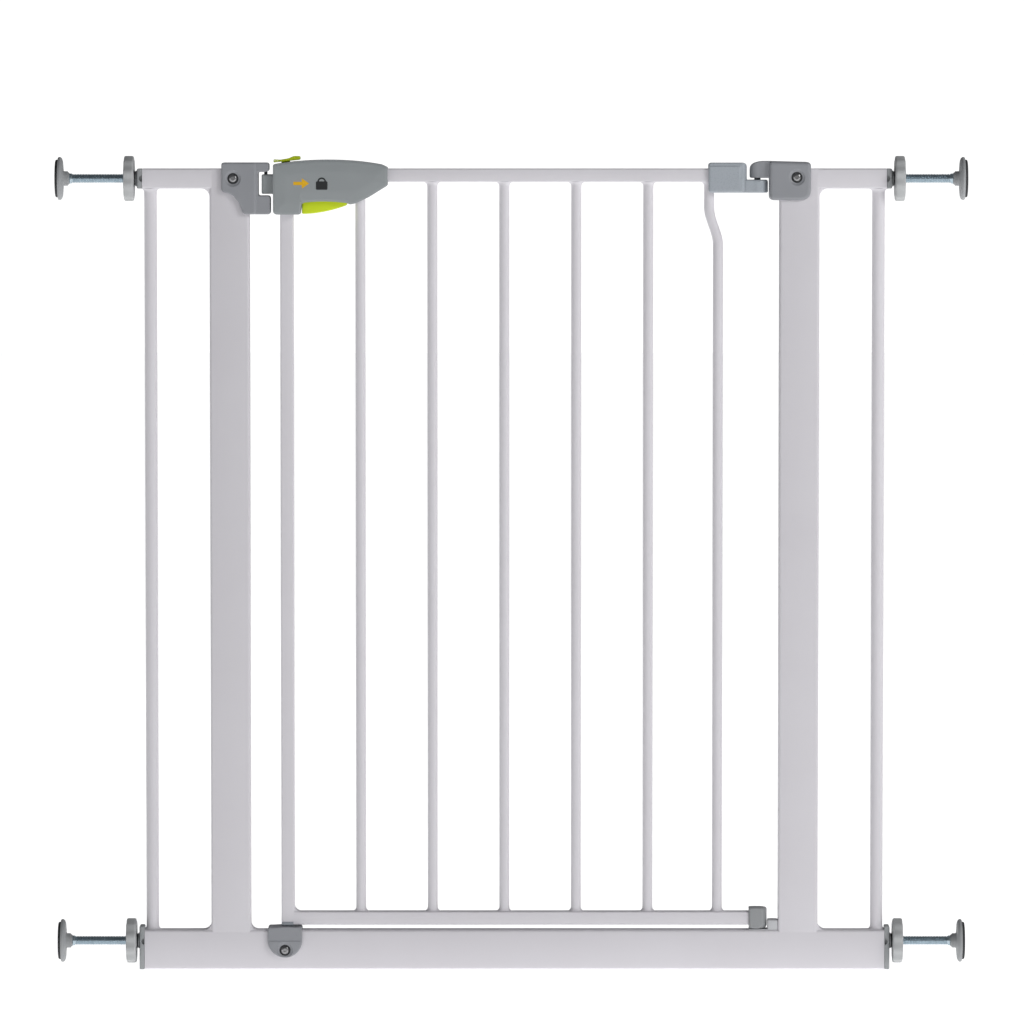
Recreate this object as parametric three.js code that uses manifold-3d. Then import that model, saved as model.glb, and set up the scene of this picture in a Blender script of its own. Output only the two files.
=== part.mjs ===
// A pressure-fit stair gate: a steel U-frame held between two walls by four screw spindles, with a barred leaf
// that swings both ways on its right-hand side and a slide-and-trigger latch at its top left corner.
// Millimetres, +Z up, +X to the hinge side. X = 0 is midway between the posts, Y = 0 is the middle of the tubes
// and Z = 0 is the underside of the base rail.
import * as THREE from "three";
import { mergeVertices } from "three/addons/utils/BufferGeometryUtils.js";
import Module from "manifold-3d";

const wasm = await Module();
wasm.setup();

// ---- Driving dimensions ----
const FIT = 0.3; // clearance between pieces that fit into, over or beside each other

// Frame
const FRAME_HEIGHT = 767; // top of the posts
const PASSAGE_WIDTH = 505; // between the posts
const SIDE_RAIL_LENGTH = 64; // from a post out to the open rail end
const FRAME_DEPTH = 19;
const BASE_RAIL_HEIGHT = 38;
const STUB_RAIL_HEIGHT = 19;
const FRAME_WALL = 1.5;
const POST_WIDTH = 38;
const OUTER_TUBE_RADIUS = 6;
const OUTER_TUBE_WALL = 1.2;
const OUTER_TUBE_INSET = 7.5; // tube centre from the rail end

// Wall fixings
const FLANGE_THICKNESS = 5;
const FLANGE_RISE = 3.7; // the base plugs stand this much above the rail
const SLEEVE_LENGTH = 12;
const NECK_LENGTH = 2.5;
const NECK_RADIUS = 9.5;
const NUT_THICKNESS = 10.2;
const NUT_RADIUS = 21.5;
const NUT_LOBES = 10;
const NUT_LOBE_HEIGHT = 0.7;
const SPINDLE_RADIUS = 4.5;
const THREAD_LENGTH = 80;
const BASE_SPINDLE_DROP = 11; // spindle axis below the top of the base rail
const LEFT_REACH = 83; // from the rail end to the outer face of a left pad at rest
const RIGHT_REACH = 77;
const RUBBER_RADIUS = 18;
const RUBBER_THICKNESS = 3.5;
const RUBBER_RECESS = 1;
const CUP_RADIUS = 20.5;
const CUP_THICKNESS = 5.5;
const HUB_RADIUS = 7;
const HUB_LENGTH = 5.3;
const COLLAR_STEP = 0.35; // the spindle's collar stands this much above the thread
const COLLAR_LENGTH = 2;
const SPIGOT_RADIUS = 3;
const SPIGOT_LENGTH = 6;

// Leaf
const LEAF_TUBE = 12.7; // square tube of the stile and both rails
const LEAF_WALL = 1.2;
const LEAF_GROUND_GAP = 4.8; // from the base rail to the leaf's bottom rail
const LATCH_GAP = 29.15; // from the latch post to the stile
const BAR_RADIUS = 4.8;
const BAR_COUNT = 5;
const FIRST_BAR_OFFSET = 70; // from the stile's centre
const LAST_BAR_OFFSET = 66.6; // from the bent bar's centre
const BENT_BAR_OFFSET = 37.4; // from the hinge axis
const BENT_BAR_SHIFT = 8.6; // the top of the bent bar stands this far to the left
const BEND_LOW_DROP = 73; // below the top of the leaf
const BEND_HIGH_DROP = 37;

// Hinge: heights of the brackets are from the top of the posts, sideways places from the hinge axis
const HINGE_GAP = 21; // from the hinge axis to the hinge post
const PIN_RADIUS = 3;
const LEAF_ARM_RADIUS = 10;
const LEAF_BLOCK_HALF_DEPTH = 10.5;
const LEAF_BRACKET = { left: -46.8, shoulder: -10.2, bottom: -23, armTop: -10.6, top: 5.6 };
const POST_BRACKET = { armBottom: -8.9, body: 11.2, right: 50.7, bottom: -30.1, top: 7.2 };
const POST_ARM_RADIUS = 7.5;
const BRACKET_WALL = 4; // of a bracket in front of and behind the post
const SHOE_RADIUS = 10.5;
const SHOE_LEFT_REACH = 6.8;
const SHOE_HALF_DEPTH = 9;
const SHOE_RISE = 4.4; // above the bottom rail
const STOP_TAB_HEIGHT = 9.7;
const STOP_TAB_LENGTH = 10;
const HINGE_PLATE_THICKNESS = 0.7;
const PEG_HEIGHT = 14;

// Latch: places are from its datum, the top of the stile's left face
const HOUSING_HALF_DEPTH = 15.5;
const HOUSING_WALL = 2.2;
const HOUSING = { left: -6.55, right: 102.45, bottom: -43.7 };
const TONGUE = { left: -17.45, bottom: -24, top: -5.5, halfDepth: 9 };
const TRIGGER_PIVOT = { x: 62.35, z: -28 };
const TRIGGER_LEFT = 20.95;
const TRIGGER_HALF_WIDTH = 9.5;
const TRIGGER_ARM_Z = -27;
const ROCKER_PIVOT_X = -3.65;
const ROCKER_LEFT_ARM = 10;
const BOLT_LIFT = 5.9; // how far the rod rises, and the top bolt drops, when the trigger is pulled
const ROCKER_ROD_Z = -17.2; // where the rocker holds the rod at rest
const NOSE_RADIUS = 1.3;
const LINK_HALF_WIDTH = 1.2; // half the thickness of the trigger's arm and of the rocker
const TOP_BOLT_RADIUS = 1.6;
const TOP_BOLT_TIP_Z = 0.8;
const HOUSING_PIN_RADIUS = 1.5;
const ROCKER_PIN_HALF_LENGTH = 9;
const PIN_BOSS_RADIUS = 3.2;
const SLIDE = { left: -6.15, right: 19.35, halfWidth: 7, stemLeft: 1.35, stemRight: 9.35 };
const SLIDE_TRAVEL = 8;
const SLIDE_SLOT_HALF_WIDTH = 3.2;

// Keeper: places are from the top of the latch post's inner face
const KEEPER = { left: -26.5, right: 20.1, bottom: -43.5, top: 5.7, notch: 8.5 };
const NOTCH_BOTTOM = -25.6;
const NOTCH_TOP = -3.2;

// Strike: heights are from the top of the base rail
const STRIKE_SHIFT = -2.95; // from the bolt to the strike's middle
const STRIKE_RADIUS = 16.45;
const STRIKE_STEP = -9.75;
const STRIKE_RISE = 3.4;
const STRIKE_WALL = 3.5;

// Bolt rod: heights at the top are from the top of the stile
const ROD_RADIUS = 3;
const ROD_ENGAGEMENT = 1.1; // the tip goes this far into the base rail
const ROD_TOP = -12.6;
const COLLAR_TOP = -124; // the washer that the return spring stands on
const ROD_COLLAR_STEP = 1.5;
const ROD_COLLAR_THICKNESS = 3;
const BUSH_BOTTOM = -77; // the fixed bush that the return spring pushes against
const BUSH_LENGTH = 10;
const SPRING_COILS = 11;
const SPRING_WIRE_RADIUS = 0.5;
const SPRING_GAP = 0.5; // between the rod and the coils

// Screws
const SCREW_HEAD_RADIUS = 4;
const SCREW_HEAD_HEIGHT = 2;
const SCREW_RECESS_RADIUS = 5.5;
const SCREW_SHANK_RADIUS = 2;
const SCREW_LENGTH = 7.5;
const KEEPER_SCREW = { x: -15.5, z: -9.4 }; // from the top of the post's inner face
const POST_BRACKET_SCREW = { x: 16.2, z: -8.3 }; // from the top of the post's inner face
const STRIKE_SCREW_DROP = 19.1; // below the top of the base rail
const HOUSING_SCREW_XS = [40.35, 89.85];
const HOUSING_SCREW_DROP = 4.7; // below the underside of the leaf's top rail
const HOUSING_SCREW_SHANK_RADIUS = 1.4;
const HOUSING_SCREW_HEAD_RADIUS = 2.6;
const HOUSING_SCREW_LENGTH = 20;
const HOUSING_SCREW_SINK = 2;
const HOUSING_BOSS_RADIUS = 3.2;

// ---- Sizes worked out from them ----
const HALF_FRAME_DEPTH = FRAME_DEPTH / 2;
const HALF_LEAF_TUBE = LEAF_TUBE / 2;
const POST_INNER_X = PASSAGE_WIDTH / 2;
const POST_OUTER_X = POST_INNER_X + POST_WIDTH;
const FRAME_HALF_WIDTH = POST_OUTER_X + SIDE_RAIL_LENGTH;
const STUB_BOTTOM = FRAME_HEIGHT - STUB_RAIL_HEIGHT;
const BRACKET_HALF_DEPTH = HALF_FRAME_DEPTH + BRACKET_WALL;
const HINGE_X = POST_INNER_X - HINGE_GAP;
const STILE_LEFT = LATCH_GAP - POST_INNER_X;
const STILE_X = STILE_LEFT + HALF_LEAF_TUBE;
const STILE_RIGHT = STILE_LEFT + LEAF_TUBE;
const LEAF_TOP = FRAME_HEIGHT;
const LEAF_BOTTOM = BASE_RAIL_HEIGHT + LEAF_GROUND_GAP;
const TOP_RAIL_BOTTOM = LEAF_TOP - LEAF_TUBE;
const BOTTOM_RAIL_TOP = LEAF_BOTTOM + LEAF_TUBE;
const STILE_BOTTOM = LEAF_BOTTOM + 2.9;
const PLUG_BOTTOM = LEAF_BOTTOM - 0.8;
const BENT_BAR_X = HINGE_X - BENT_BAR_OFFSET;
const FIRST_BAR_X = STILE_X + FIRST_BAR_OFFSET;
const BAR_PITCH = (BENT_BAR_X - LAST_BAR_OFFSET - FIRST_BAR_X) / (BAR_COUNT - 1);
const NOSE_DROP = BOLT_LIFT / 2;
const ROCKER_PIVOT_Z = ROCKER_ROD_Z + NOSE_DROP;
const ROCKER_RIGHT_ARM = HALF_LEAF_TUBE - ROCKER_PIVOT_X;
const ROCKER_TILT = Math.asin(NOSE_DROP / ROCKER_LEFT_ARM);
const TOP_BOLT_X = ROCKER_PIVOT_X - ROCKER_LEFT_ARM;
const TOP_BOLT_NOSE_Z = ROCKER_PIVOT_Z + NOSE_DROP;
const WINDOW_HALF_HEIGHT = NOSE_RADIUS + 0.5; // of the window that a nose works in
const WINDOW_HALF_WIDTH = LINK_HALF_WIDTH + FIT;
const SPRING_RADIUS = ROD_RADIUS + SPRING_GAP + SPRING_WIRE_RADIUS;

// ---- Materials ----
function finish(color, roughness, metalness = 0) {
  return () => new THREE.MeshStandardMaterial({ color, roughness, metalness });
}
const whiteSteel = finish(0xe4e3e8, 0.45);
const greyPlastic = finish(0x868b8d, 0.5);
const paleGreyPlastic = finish(0xa0a5a5, 0.5);
const limePlastic = finish(0xb0bf0a, 0.45);
const zinc = finish(0x9fb0b4, 0.35, 0.9);
const darkSteel = finish(0x3c3e40, 0.4, 0.8);
const brightSteel = finish(0xb9bcbf, 0.3, 0.9);
const blackRubber = finish(0x3c3e40, 0.85);

// ---- Making shapes ----
function block(x0, x1, y0, y1, z0, z1) {
  const box = new THREE.BoxGeometry(x1 - x0, y1 - y0, z1 - z0);
  return box.translate((x0 + x1) / 2, (y0 + y1) / 2, (z0 + z1) / 2);
}

// A closed outline through corners [x, y, setback]; a corner with a setback is rounded off over that length.
function outline(corners) {
  const shape = new THREE.Shape();
  corners.forEach(([x, y, setback = 0], i) => {
    const before = corners[(i + corners.length - 1) % corners.length];
    const after = corners[(i + 1) % corners.length];
    const towards = ([tx, ty]) => {
      const distance = Math.hypot(tx - x, ty - y);
      return [x + ((tx - x) * setback) / distance, y + ((ty - y) * setback) / distance];
    };
    const start = towards(before);
    if (i === 0) shape.moveTo(...start);
    else shape.lineTo(...start);
    if (setback > 0) shape.quadraticCurveTo(x, y, ...towards(after));
  });
  shape.closePath();
  return shape;
}

function rectangle(x0, x1, y0, y1, setback = 0) {
  return outline([
    [x0, y0, setback],
    [x1, y0, setback],
    [x1, y1, setback],
    [x0, y1, setback],
  ]);
}

// A shape drawn in X and Z, given its thickness from y0 to y1.
function plate(shape, y0, y1, { bevel = 0, curveSegments = 4 } = {}) {
  const geometry = new THREE.ExtrudeGeometry(shape, {
    depth: y1 - y0 - 2 * bevel,
    bevelEnabled: bevel > 0,
    bevelThickness: bevel,
    bevelSize: bevel,
    bevelOffset: -bevel,
    bevelSegments: 1,
    curveSegments,
  });
  return geometry.rotateX(Math.PI / 2).translate(0, y1 - bevel, 0);
}

// A shape drawn in X and Y, raised from z0 to z1.
function prism(shape, z0, z1, curveSegments = 12) {
  const geometry = new THREE.ExtrudeGeometry(shape, { depth: z1 - z0, bevelEnabled: false, curveSegments });
  return geometry.translate(0, 0, z0);
}

// A solid of revolution about Z; the profile [radius, z] runs upwards and starts and ends on the axis.
function turned(profile, segments = 20) {
  const points = profile.map(([radius, z]) => new THREE.Vector2(radius, z));
  return new THREE.LatheGeometry(points, segments).rotateX(Math.PI / 2);
}

function rod(radius, z0, z1, segments = 20) {
  return turned([[0, z0], [radius, z0], [radius, z1], [0, z1]], segments);
}

function rodAlongY(radius, x, z, y0, y1, segments = 16) {
  return rod(radius, y0, y1, segments).rotateX(-Math.PI / 2).translate(x, 0, z);
}

// A solid of revolution whose profile runs outwards along X, to the left (side -1) or the right (side +1).
function turnedOutwards(profile, side, z, segments = 28) {
  return turned(profile, segments).rotateY((side * Math.PI) / 2).translate(0, 0, z);
}

// ---- Joining and cutting ----
function toSolid(geometry) {
  const bare = geometry.clone();
  bare.deleteAttribute("normal");
  bare.deleteAttribute("uv");
  const merged = mergeVertices(bare, 1e-4);
  const mesh = new wasm.Mesh({
    numProp: 3,
    vertProperties: merged.attributes.position.array,
    triVerts: new Uint32Array(merged.index.array),
  });
  return new wasm.Manifold(mesh);
}

function toGeometry(solid) {
  const mesh = solid.getMesh();
  const geometry = new THREE.BufferGeometry();
  geometry.setAttribute("position", new THREE.BufferAttribute(mesh.vertProperties, 3));
  geometry.setIndex(new THREE.BufferAttribute(mesh.triVerts, 1));
  return geometry;
}

function join(...geometries) {
  return toGeometry(geometries.map(toSolid).reduce((whole, next) => whole.add(next)));
}

function cut(base, ...tools) {
  return toGeometry(tools.map(toSolid).reduce((whole, tool) => whole.subtract(tool), toSolid(base)));
}

function common(first, second) {
  return toGeometry(toSolid(first).intersect(toSolid(second)));
}

// ---- The assembly ----
const gate = new THREE.Group();

// A group whose pieces are drawn from its own datum.
function groupAt(x, z) {
  const group = new THREE.Group();
  group.position.set(x, 0, z);
  gate.add(group);
  return group;
}
const onStrike = groupAt(STILE_X + STRIKE_SHIFT, BASE_RAIL_HEIGHT);
const onLatchPost = groupAt(-POST_INNER_X, FRAME_HEIGHT);
const onHingePost = groupAt(POST_INNER_X, FRAME_HEIGHT);
const onHinge = groupAt(HINGE_X, FRAME_HEIGHT);
const onPeg = groupAt(HINGE_X, BASE_RAIL_HEIGHT);
const inStile = groupAt(STILE_X, LEAF_TOP);
const inLatch = groupAt(STILE_LEFT, LEAF_TOP);

function add(name, geometry, material, group = gate) {
  const shaded = geometry.index ? geometry.toNonIndexed() : geometry;
  shaded.computeVertexNormals();
  const mesh = new THREE.Mesh(shaded, material());
  mesh.name = name;
  group.add(mesh);
}

// ---- Frame ----
// A rectangular tube along X, open at both ends.
function railTube(x0, x1, halfDepth, z0, z1, wall) {
  const inside = block(x0 - 1, x1 + 1, wall - halfDepth, halfDepth - wall, z0 + wall, z1 - wall);
  return cut(block(x0, x1, -halfDepth, halfDepth, z0, z1), inside);
}

// A screw hole along Y through a front wall, from outside the piece to its hollow.
function screwHole(x, z) {
  return rodAlongY(SCREW_SHANK_RADIUS + FIT, x, z, -BRACKET_HALF_DEPTH - 1, 0);
}

const STRIKE_SCREW = { x: STILE_X + STRIKE_SHIFT, z: BASE_RAIL_HEIGHT - STRIKE_SCREW_DROP };
const boltHoleInRail = rod(ROD_RADIUS + 1, BASE_RAIL_HEIGHT - ROD_ENGAGEMENT - 4, BASE_RAIL_HEIGHT + 1);
add(
  "base_rail",
  cut(
    railTube(-FRAME_HALF_WIDTH, FRAME_HALF_WIDTH, HALF_FRAME_DEPTH, 0, BASE_RAIL_HEIGHT, FRAME_WALL),
    boltHoleInRail.translate(STILE_X, 0, 0),
    screwHole(STRIKE_SCREW.x, STRIKE_SCREW.z),
  ),
  whiteSteel,
);

// A post is closed at the top by a welded plate and stands open-ended on the base rail.
function post(side, screw) {
  const xs = [side * POST_INNER_X, side * POST_OUTER_X].sort((a, b) => a - b);
  const outside = block(...xs, -HALF_FRAME_DEPTH, HALF_FRAME_DEPTH, BASE_RAIL_HEIGHT, FRAME_HEIGHT);
  const inside = block(
    xs[0] + FRAME_WALL,
    xs[1] - FRAME_WALL,
    FRAME_WALL - HALF_FRAME_DEPTH,
    HALF_FRAME_DEPTH - FRAME_WALL,
    BASE_RAIL_HEIGHT - 1,
    FRAME_HEIGHT - FRAME_WALL,
  );
  return cut(outside, inside, screwHole(side * POST_INNER_X + screw.x, FRAME_HEIGHT + screw.z));
}
add("latch_post", post(-1, KEEPER_SCREW), whiteSteel);
add("hinge_post", post(1, POST_BRACKET_SCREW), whiteSteel);

const SIDES = [
  { name: "left", side: -1, reach: FRAME_HALF_WIDTH + LEFT_REACH },
  { name: "right", side: 1, reach: FRAME_HALF_WIDTH + RIGHT_REACH },
];
for (const { name, side } of SIDES) {
  const ends = [side * POST_OUTER_X, side * FRAME_HALF_WIDTH].sort((a, b) => a - b);
  const stub = railTube(...ends, HALF_FRAME_DEPTH, STUB_BOTTOM, FRAME_HEIGHT, FRAME_WALL);
  add(`${name}_top_stub_rail`, stub, whiteSteel);
  const tube = cut(
    rod(OUTER_TUBE_RADIUS, BASE_RAIL_HEIGHT, STUB_BOTTOM),
    rod(OUTER_TUBE_RADIUS - OUTER_TUBE_WALL, BASE_RAIL_HEIGHT - 1, STUB_BOTTOM + 1),
  );
  add(`${name}_outer_tube`, tube.translate(side * (FRAME_HALF_WIDTH - OUTER_TUBE_INSET), 0, 0), whiteSteel);
}

// ---- Wall fixings ----
const BORE_RADIUS = SPINDLE_RADIUS + FIT;
const FLANGE_FACE = FRAME_HALF_WIDTH + FLANGE_THICKNESS;
const NECK_FACE = FLANGE_FACE + NECK_LENGTH;
const ROWS = [
  { name: "top", z: (STUB_BOTTOM + FRAME_HEIGHT) / 2, rail: [STUB_BOTTOM, FRAME_HEIGHT], rise: 0 },
  { name: "base", z: BASE_RAIL_HEIGHT - BASE_SPINDLE_DROP, rail: [0, BASE_RAIL_HEIGHT], rise: FLANGE_RISE },
];

function endPlug(side, row) {
  const inset = FRAME_WALL + FIT;
  const spans = (from, to) => [side * from, side * to].sort((a, b) => a - b);
  const flangeX = spans(FRAME_HALF_WIDTH, FLANGE_FACE);
  const sleeveX = spans(FRAME_HALF_WIDTH - SLEEVE_LENGTH, FLANGE_FACE - 1);
  const flangeZ = [row.rail[0], row.rail[1] + row.rise];
  const flange = block(...flangeX, -HALF_FRAME_DEPTH, HALF_FRAME_DEPTH, ...flangeZ);
  const halfSleeve = HALF_FRAME_DEPTH - inset;
  const sleeve = block(...sleeveX, -halfSleeve, halfSleeve, row.rail[0] + inset, row.rail[1] - inset);
  const neckProfile = [
    [0, FLANGE_FACE - 1],
    [NECK_RADIUS, FLANGE_FACE - 1],
    [NECK_RADIUS, NECK_FACE],
    [0, NECK_FACE],
  ];
  const boreProfile = [
    [0, FRAME_HALF_WIDTH - SLEEVE_LENGTH - 1],
    [BORE_RADIUS, FRAME_HALF_WIDTH - SLEEVE_LENGTH - 1],
    [BORE_RADIUS, NECK_FACE + 1],
    [0, NECK_FACE + 1],
  ];
  const body = join(flange, sleeve, turnedOutwards(neckProfile, side, row.z));
  return cut(body, turnedOutwards(boreProfile, side, row.z));
}

// A round hand nut with a shallow lobed rim and a chamfer on both faces.
function handNut(side, z) {
  const rim = [];
  const steps = NUT_LOBES * 6;
  for (let i = 0; i < steps; i += 1) {
    const angle = (i / steps) * 2 * Math.PI;
    const radius = NUT_RADIUS - NUT_LOBE_HEIGHT * (1 - Math.cos(NUT_LOBES * angle));
    rim.push(new THREE.Vector2(radius * Math.cos(angle), radius * Math.sin(angle)));
  }
  const chamfer = 1;
  const disc = new THREE.ExtrudeGeometry(new THREE.Shape(rim), {
    depth: NUT_THICKNESS - 2 * chamfer,
    bevelThickness: chamfer,
    bevelSize: chamfer,
    bevelOffset: -chamfer,
    bevelSegments: 1,
  });
  const nut = cut(disc, rod(BORE_RADIUS, -2 * chamfer, NUT_THICKNESS + chamfer));
  const start = NECK_FACE + FIT + chamfer;
  return nut.translate(0, 0, start).rotateY((side * Math.PI) / 2).translate(0, 0, z);
}

for (const { name, side, reach } of SIDES) {
  const cupFace = reach - RUBBER_THICKNESS + RUBBER_RECESS;
  const rubberSeat = reach - RUBBER_THICKNESS;
  const discBack = cupFace - CUP_THICKNESS;
  const hubBack = discBack - HUB_LENGTH;
  const collarBack = hubBack - COLLAR_LENGTH;
  for (const row of ROWS) {
    const tag = `${row.name}_${name}`;
    add(`end_plug_${tag}`, endPlug(side, row), greyPlastic);
    add(`hand_nut_${tag}`, handNut(side, row.z), paleGreyPlastic);
    const spindle = [
      [0, collarBack - THREAD_LENGTH],
      [SPINDLE_RADIUS, collarBack - THREAD_LENGTH],
      [SPINDLE_RADIUS, collarBack],
      [SPINDLE_RADIUS + COLLAR_STEP, collarBack],
      [SPINDLE_RADIUS + COLLAR_STEP, hubBack],
      [SPIGOT_RADIUS, hubBack],
      [SPIGOT_RADIUS, hubBack + SPIGOT_LENGTH],
      [0, hubBack + SPIGOT_LENGTH],
    ];
    add(`spindle_${tag}`, turnedOutwards(spindle, side, row.z, 20), zinc);
    const cup = [
      [0, hubBack + SPIGOT_LENGTH + FIT],
      [SPIGOT_RADIUS + FIT, hubBack + SPIGOT_LENGTH + FIT],
      [SPIGOT_RADIUS + FIT, hubBack],
      [HUB_RADIUS, hubBack],
      [HUB_RADIUS, discBack],
      [CUP_RADIUS - 1, discBack],
      [CUP_RADIUS, discBack + 1],
      [CUP_RADIUS, cupFace],
      [RUBBER_RADIUS + FIT, cupFace],
      [RUBBER_RADIUS + FIT, rubberSeat],
      [0, rubberSeat],
    ];
    add(`pad_cup_${tag}`, turnedOutwards(cup, side, row.z), greyPlastic);
    const rubber = [
      [0, rubberSeat],
      [RUBBER_RADIUS, rubberSeat],
      [RUBBER_RADIUS, reach],
      [0, reach],
    ];
    add(`pad_rubber_${tag}`, turnedOutwards(rubber, side, row.z), blackRubber);
  }
}

// ---- Brackets on the frame ----
// The hollow in a bracket that lets it sit over the top of a post, from the top of the post's inner face.
function postPocket(side) {
  const xs = [-side * FIT, side * (POST_WIDTH + 20)].sort((a, b) => a - b);
  const halfDepth = HALF_FRAME_DEPTH + FIT;
  return block(...xs, -halfDepth, halfDepth, -60, FIT);
}

// A round recess in the front face of a bracket, with the screw hole behind it.
function screwSeat(x, z, faceY) {
  const recess = rodAlongY(SCREW_RECESS_RADIUS, x, z, faceY - 1, faceY + SCREW_HEAD_HEIGHT);
  return join(recess, screwHole(x, z));
}

function bracketScrew(x, z, faceY) {
  const head = rodAlongY(SCREW_HEAD_RADIUS, x, z, faceY, faceY + SCREW_HEAD_HEIGHT);
  const shankEnd = faceY + SCREW_HEAD_HEIGHT + SCREW_LENGTH;
  return join(head, rodAlongY(SCREW_SHANK_RADIUS, x, z, faceY + 1, shankEnd));
}

const upperJawRight = KEEPER.right - 1.3;
const keeperOutline = outline([
  [KEEPER.left, KEEPER.top, 1.5],
  [upperJawRight, KEEPER.top, 2.5],
  [upperJawRight, NOTCH_TOP + 1.4, 1],
  [KEEPER.notch + 3, NOTCH_TOP],
  [KEEPER.notch, NOTCH_TOP, 1.2],
  [KEEPER.notch, NOTCH_BOTTOM, 1.2],
  [KEEPER.right, NOTCH_BOTTOM, 2.5],
  [KEEPER.right, KEEPER.bottom, 2],
  [KEEPER.left + 21, KEEPER.bottom, 2],
  [KEEPER.left + 18, KEEPER.bottom + 7.5, 2],
  [KEEPER.left + 6, KEEPER.bottom + 16, 2],
  [KEEPER.left, KEEPER.bottom + 22, 3],
]);
const topBoltHole = rod(TOP_BOLT_RADIUS + 0.5, NOTCH_TOP - 2, TOP_BOLT_TIP_Z + 1.5);
add(
  "keeper_bracket",
  cut(
    plate(keeperOutline, -BRACKET_HALF_DEPTH, BRACKET_HALF_DEPTH),
    postPocket(-1),
    topBoltHole.translate(LATCH_GAP + TOP_BOLT_X, 0, 0),
    screwSeat(KEEPER_SCREW.x, KEEPER_SCREW.z, -BRACKET_HALF_DEPTH),
  ),
  greyPlastic,
  onLatchPost,
);
const keeperScrew = bracketScrew(KEEPER_SCREW.x, KEEPER_SCREW.z, -BRACKET_HALF_DEPTH);
add("keeper_screw", keeperScrew, brightSteel, onLatchPost);

// An arm seen from above: a straight part with its end rounded about the hinge axis.
function armPlan(fromX, radius, halfDepth) {
  const middle = fromX < 0 ? 0 : Math.PI;
  const angle = Math.asin(halfDepth / radius);
  const shape = new THREE.Shape();
  shape.moveTo(fromX, Math.sign(fromX) * halfDepth);
  shape.lineTo(radius * Math.cos(middle - angle), radius * Math.sin(middle - angle));
  shape.absarc(0, 0, radius, middle - angle, middle + angle, false);
  shape.lineTo(fromX, -Math.sign(fromX) * halfDepth);
  shape.closePath();
  return shape;
}

const PIN_BOTTOM = LEAF_BRACKET.bottom + 2.5;
const PIN_TOP = POST_BRACKET.top - 8.5;
const pinBore = rod(PIN_RADIUS + FIT, PIN_BOTTOM - FIT, PIN_TOP + FIT);
const postBracketBody = plate(
  outline([
    [POST_BRACKET.body, POST_BRACKET.bottom, 2],
    [POST_BRACKET.right, POST_BRACKET.bottom, 8],
    [POST_BRACKET.right, POST_BRACKET.top, 2],
    [POST_BRACKET.body, POST_BRACKET.top],
  ]),
  -BRACKET_HALF_DEPTH,
  BRACKET_HALF_DEPTH,
);
const armRoot = POST_BRACKET.body + 2;
const postBracketArm = common(
  prism(armPlan(armRoot, POST_ARM_RADIUS, POST_ARM_RADIUS - 0.5), POST_BRACKET.armBottom, POST_BRACKET.top),
  plate(
    outline([
      [-POST_ARM_RADIUS, POST_BRACKET.armBottom],
      [armRoot, POST_BRACKET.armBottom],
      [armRoot, POST_BRACKET.top],
      [-POST_ARM_RADIUS, POST_BRACKET.top, 8],
    ]),
    -BRACKET_HALF_DEPTH,
    BRACKET_HALF_DEPTH,
  ),
);
const postScrewX = POST_BRACKET_SCREW.x + HINGE_GAP;
add(
  "post_hinge_bracket",
  cut(
    join(postBracketBody, postBracketArm),
    postPocket(1).translate(HINGE_GAP, 0, 0),
    pinBore,
    screwSeat(postScrewX, POST_BRACKET_SCREW.z, -BRACKET_HALF_DEPTH),
  ),
  greyPlastic,
  onHinge,
);
const postScrew = bracketScrew(POST_BRACKET_SCREW.x, POST_BRACKET_SCREW.z, -BRACKET_HALF_DEPTH);
add("post_hinge_screw", postScrew, brightSteel, onHingePost);
add("top_hinge_pin", rod(PIN_RADIUS, PIN_BOTTOM, PIN_TOP), darkSteel, onHinge);

// The strike sits over the base rail: a front plate with a round bottom, a top with the bolt's pocket, a back lip.
const STRIKE_HALF_DEPTH = HALF_FRAME_DEPTH + STRIKE_WALL;
const strikeOutline = new THREE.Shape();
strikeOutline.moveTo(-STRIKE_RADIUS, STRIKE_RISE);
strikeOutline.lineTo(-STRIKE_RADIUS, STRIKE_STEP);
strikeOutline.absarc(0, STRIKE_STEP, STRIKE_RADIUS, Math.PI, 2 * Math.PI, false);
strikeOutline.lineTo(STRIKE_RADIUS, STRIKE_RISE);
strikeOutline.closePath();
const railPocketHalf = HALF_FRAME_DEPTH + FIT;
add(
  "bottom_strike",
  cut(
    plate(strikeOutline, -STRIKE_HALF_DEPTH, STRIKE_HALF_DEPTH, { curveSegments: 16 }),
    block(-40, 40, -railPocketHalf, railPocketHalf, -BASE_RAIL_HEIGHT, FIT),
    rod(ROD_RADIUS + 0.6, -1, STRIKE_RISE + 1).translate(-STRIKE_SHIFT, 0, 0),
    screwSeat(0, -STRIKE_SCREW_DROP, -STRIKE_HALF_DEPTH),
  ),
  greyPlastic,
  onStrike,
);
add("strike_screw", bracketScrew(0, -STRIKE_SCREW_DROP, -STRIKE_HALF_DEPTH), brightSteel, onStrike);

// The bottom hinge plate lies on the base rail against the post, with the peg that the leaf's shoe turns on.
const HINGE_PLATE_HALF_DEPTH = 8;
const plateDepth = [-HINGE_PLATE_HALF_DEPTH, HINGE_PLATE_HALF_DEPTH];
const pegTop = HINGE_PLATE_THICKNESS + PEG_HEIGHT;
add(
  "bottom_hinge_plate",
  join(
    block(-SHOE_LEFT_REACH, HINGE_GAP, ...plateDepth, 0, HINGE_PLATE_THICKNESS),
    block(HINGE_GAP - STOP_TAB_LENGTH, HINGE_GAP, ...plateDepth, 0, STOP_TAB_HEIGHT),
    rod(PIN_RADIUS, HINGE_PLATE_THICKNESS / 2, pegTop),
  ),
  paleGreyPlastic,
  onPeg,
);

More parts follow.
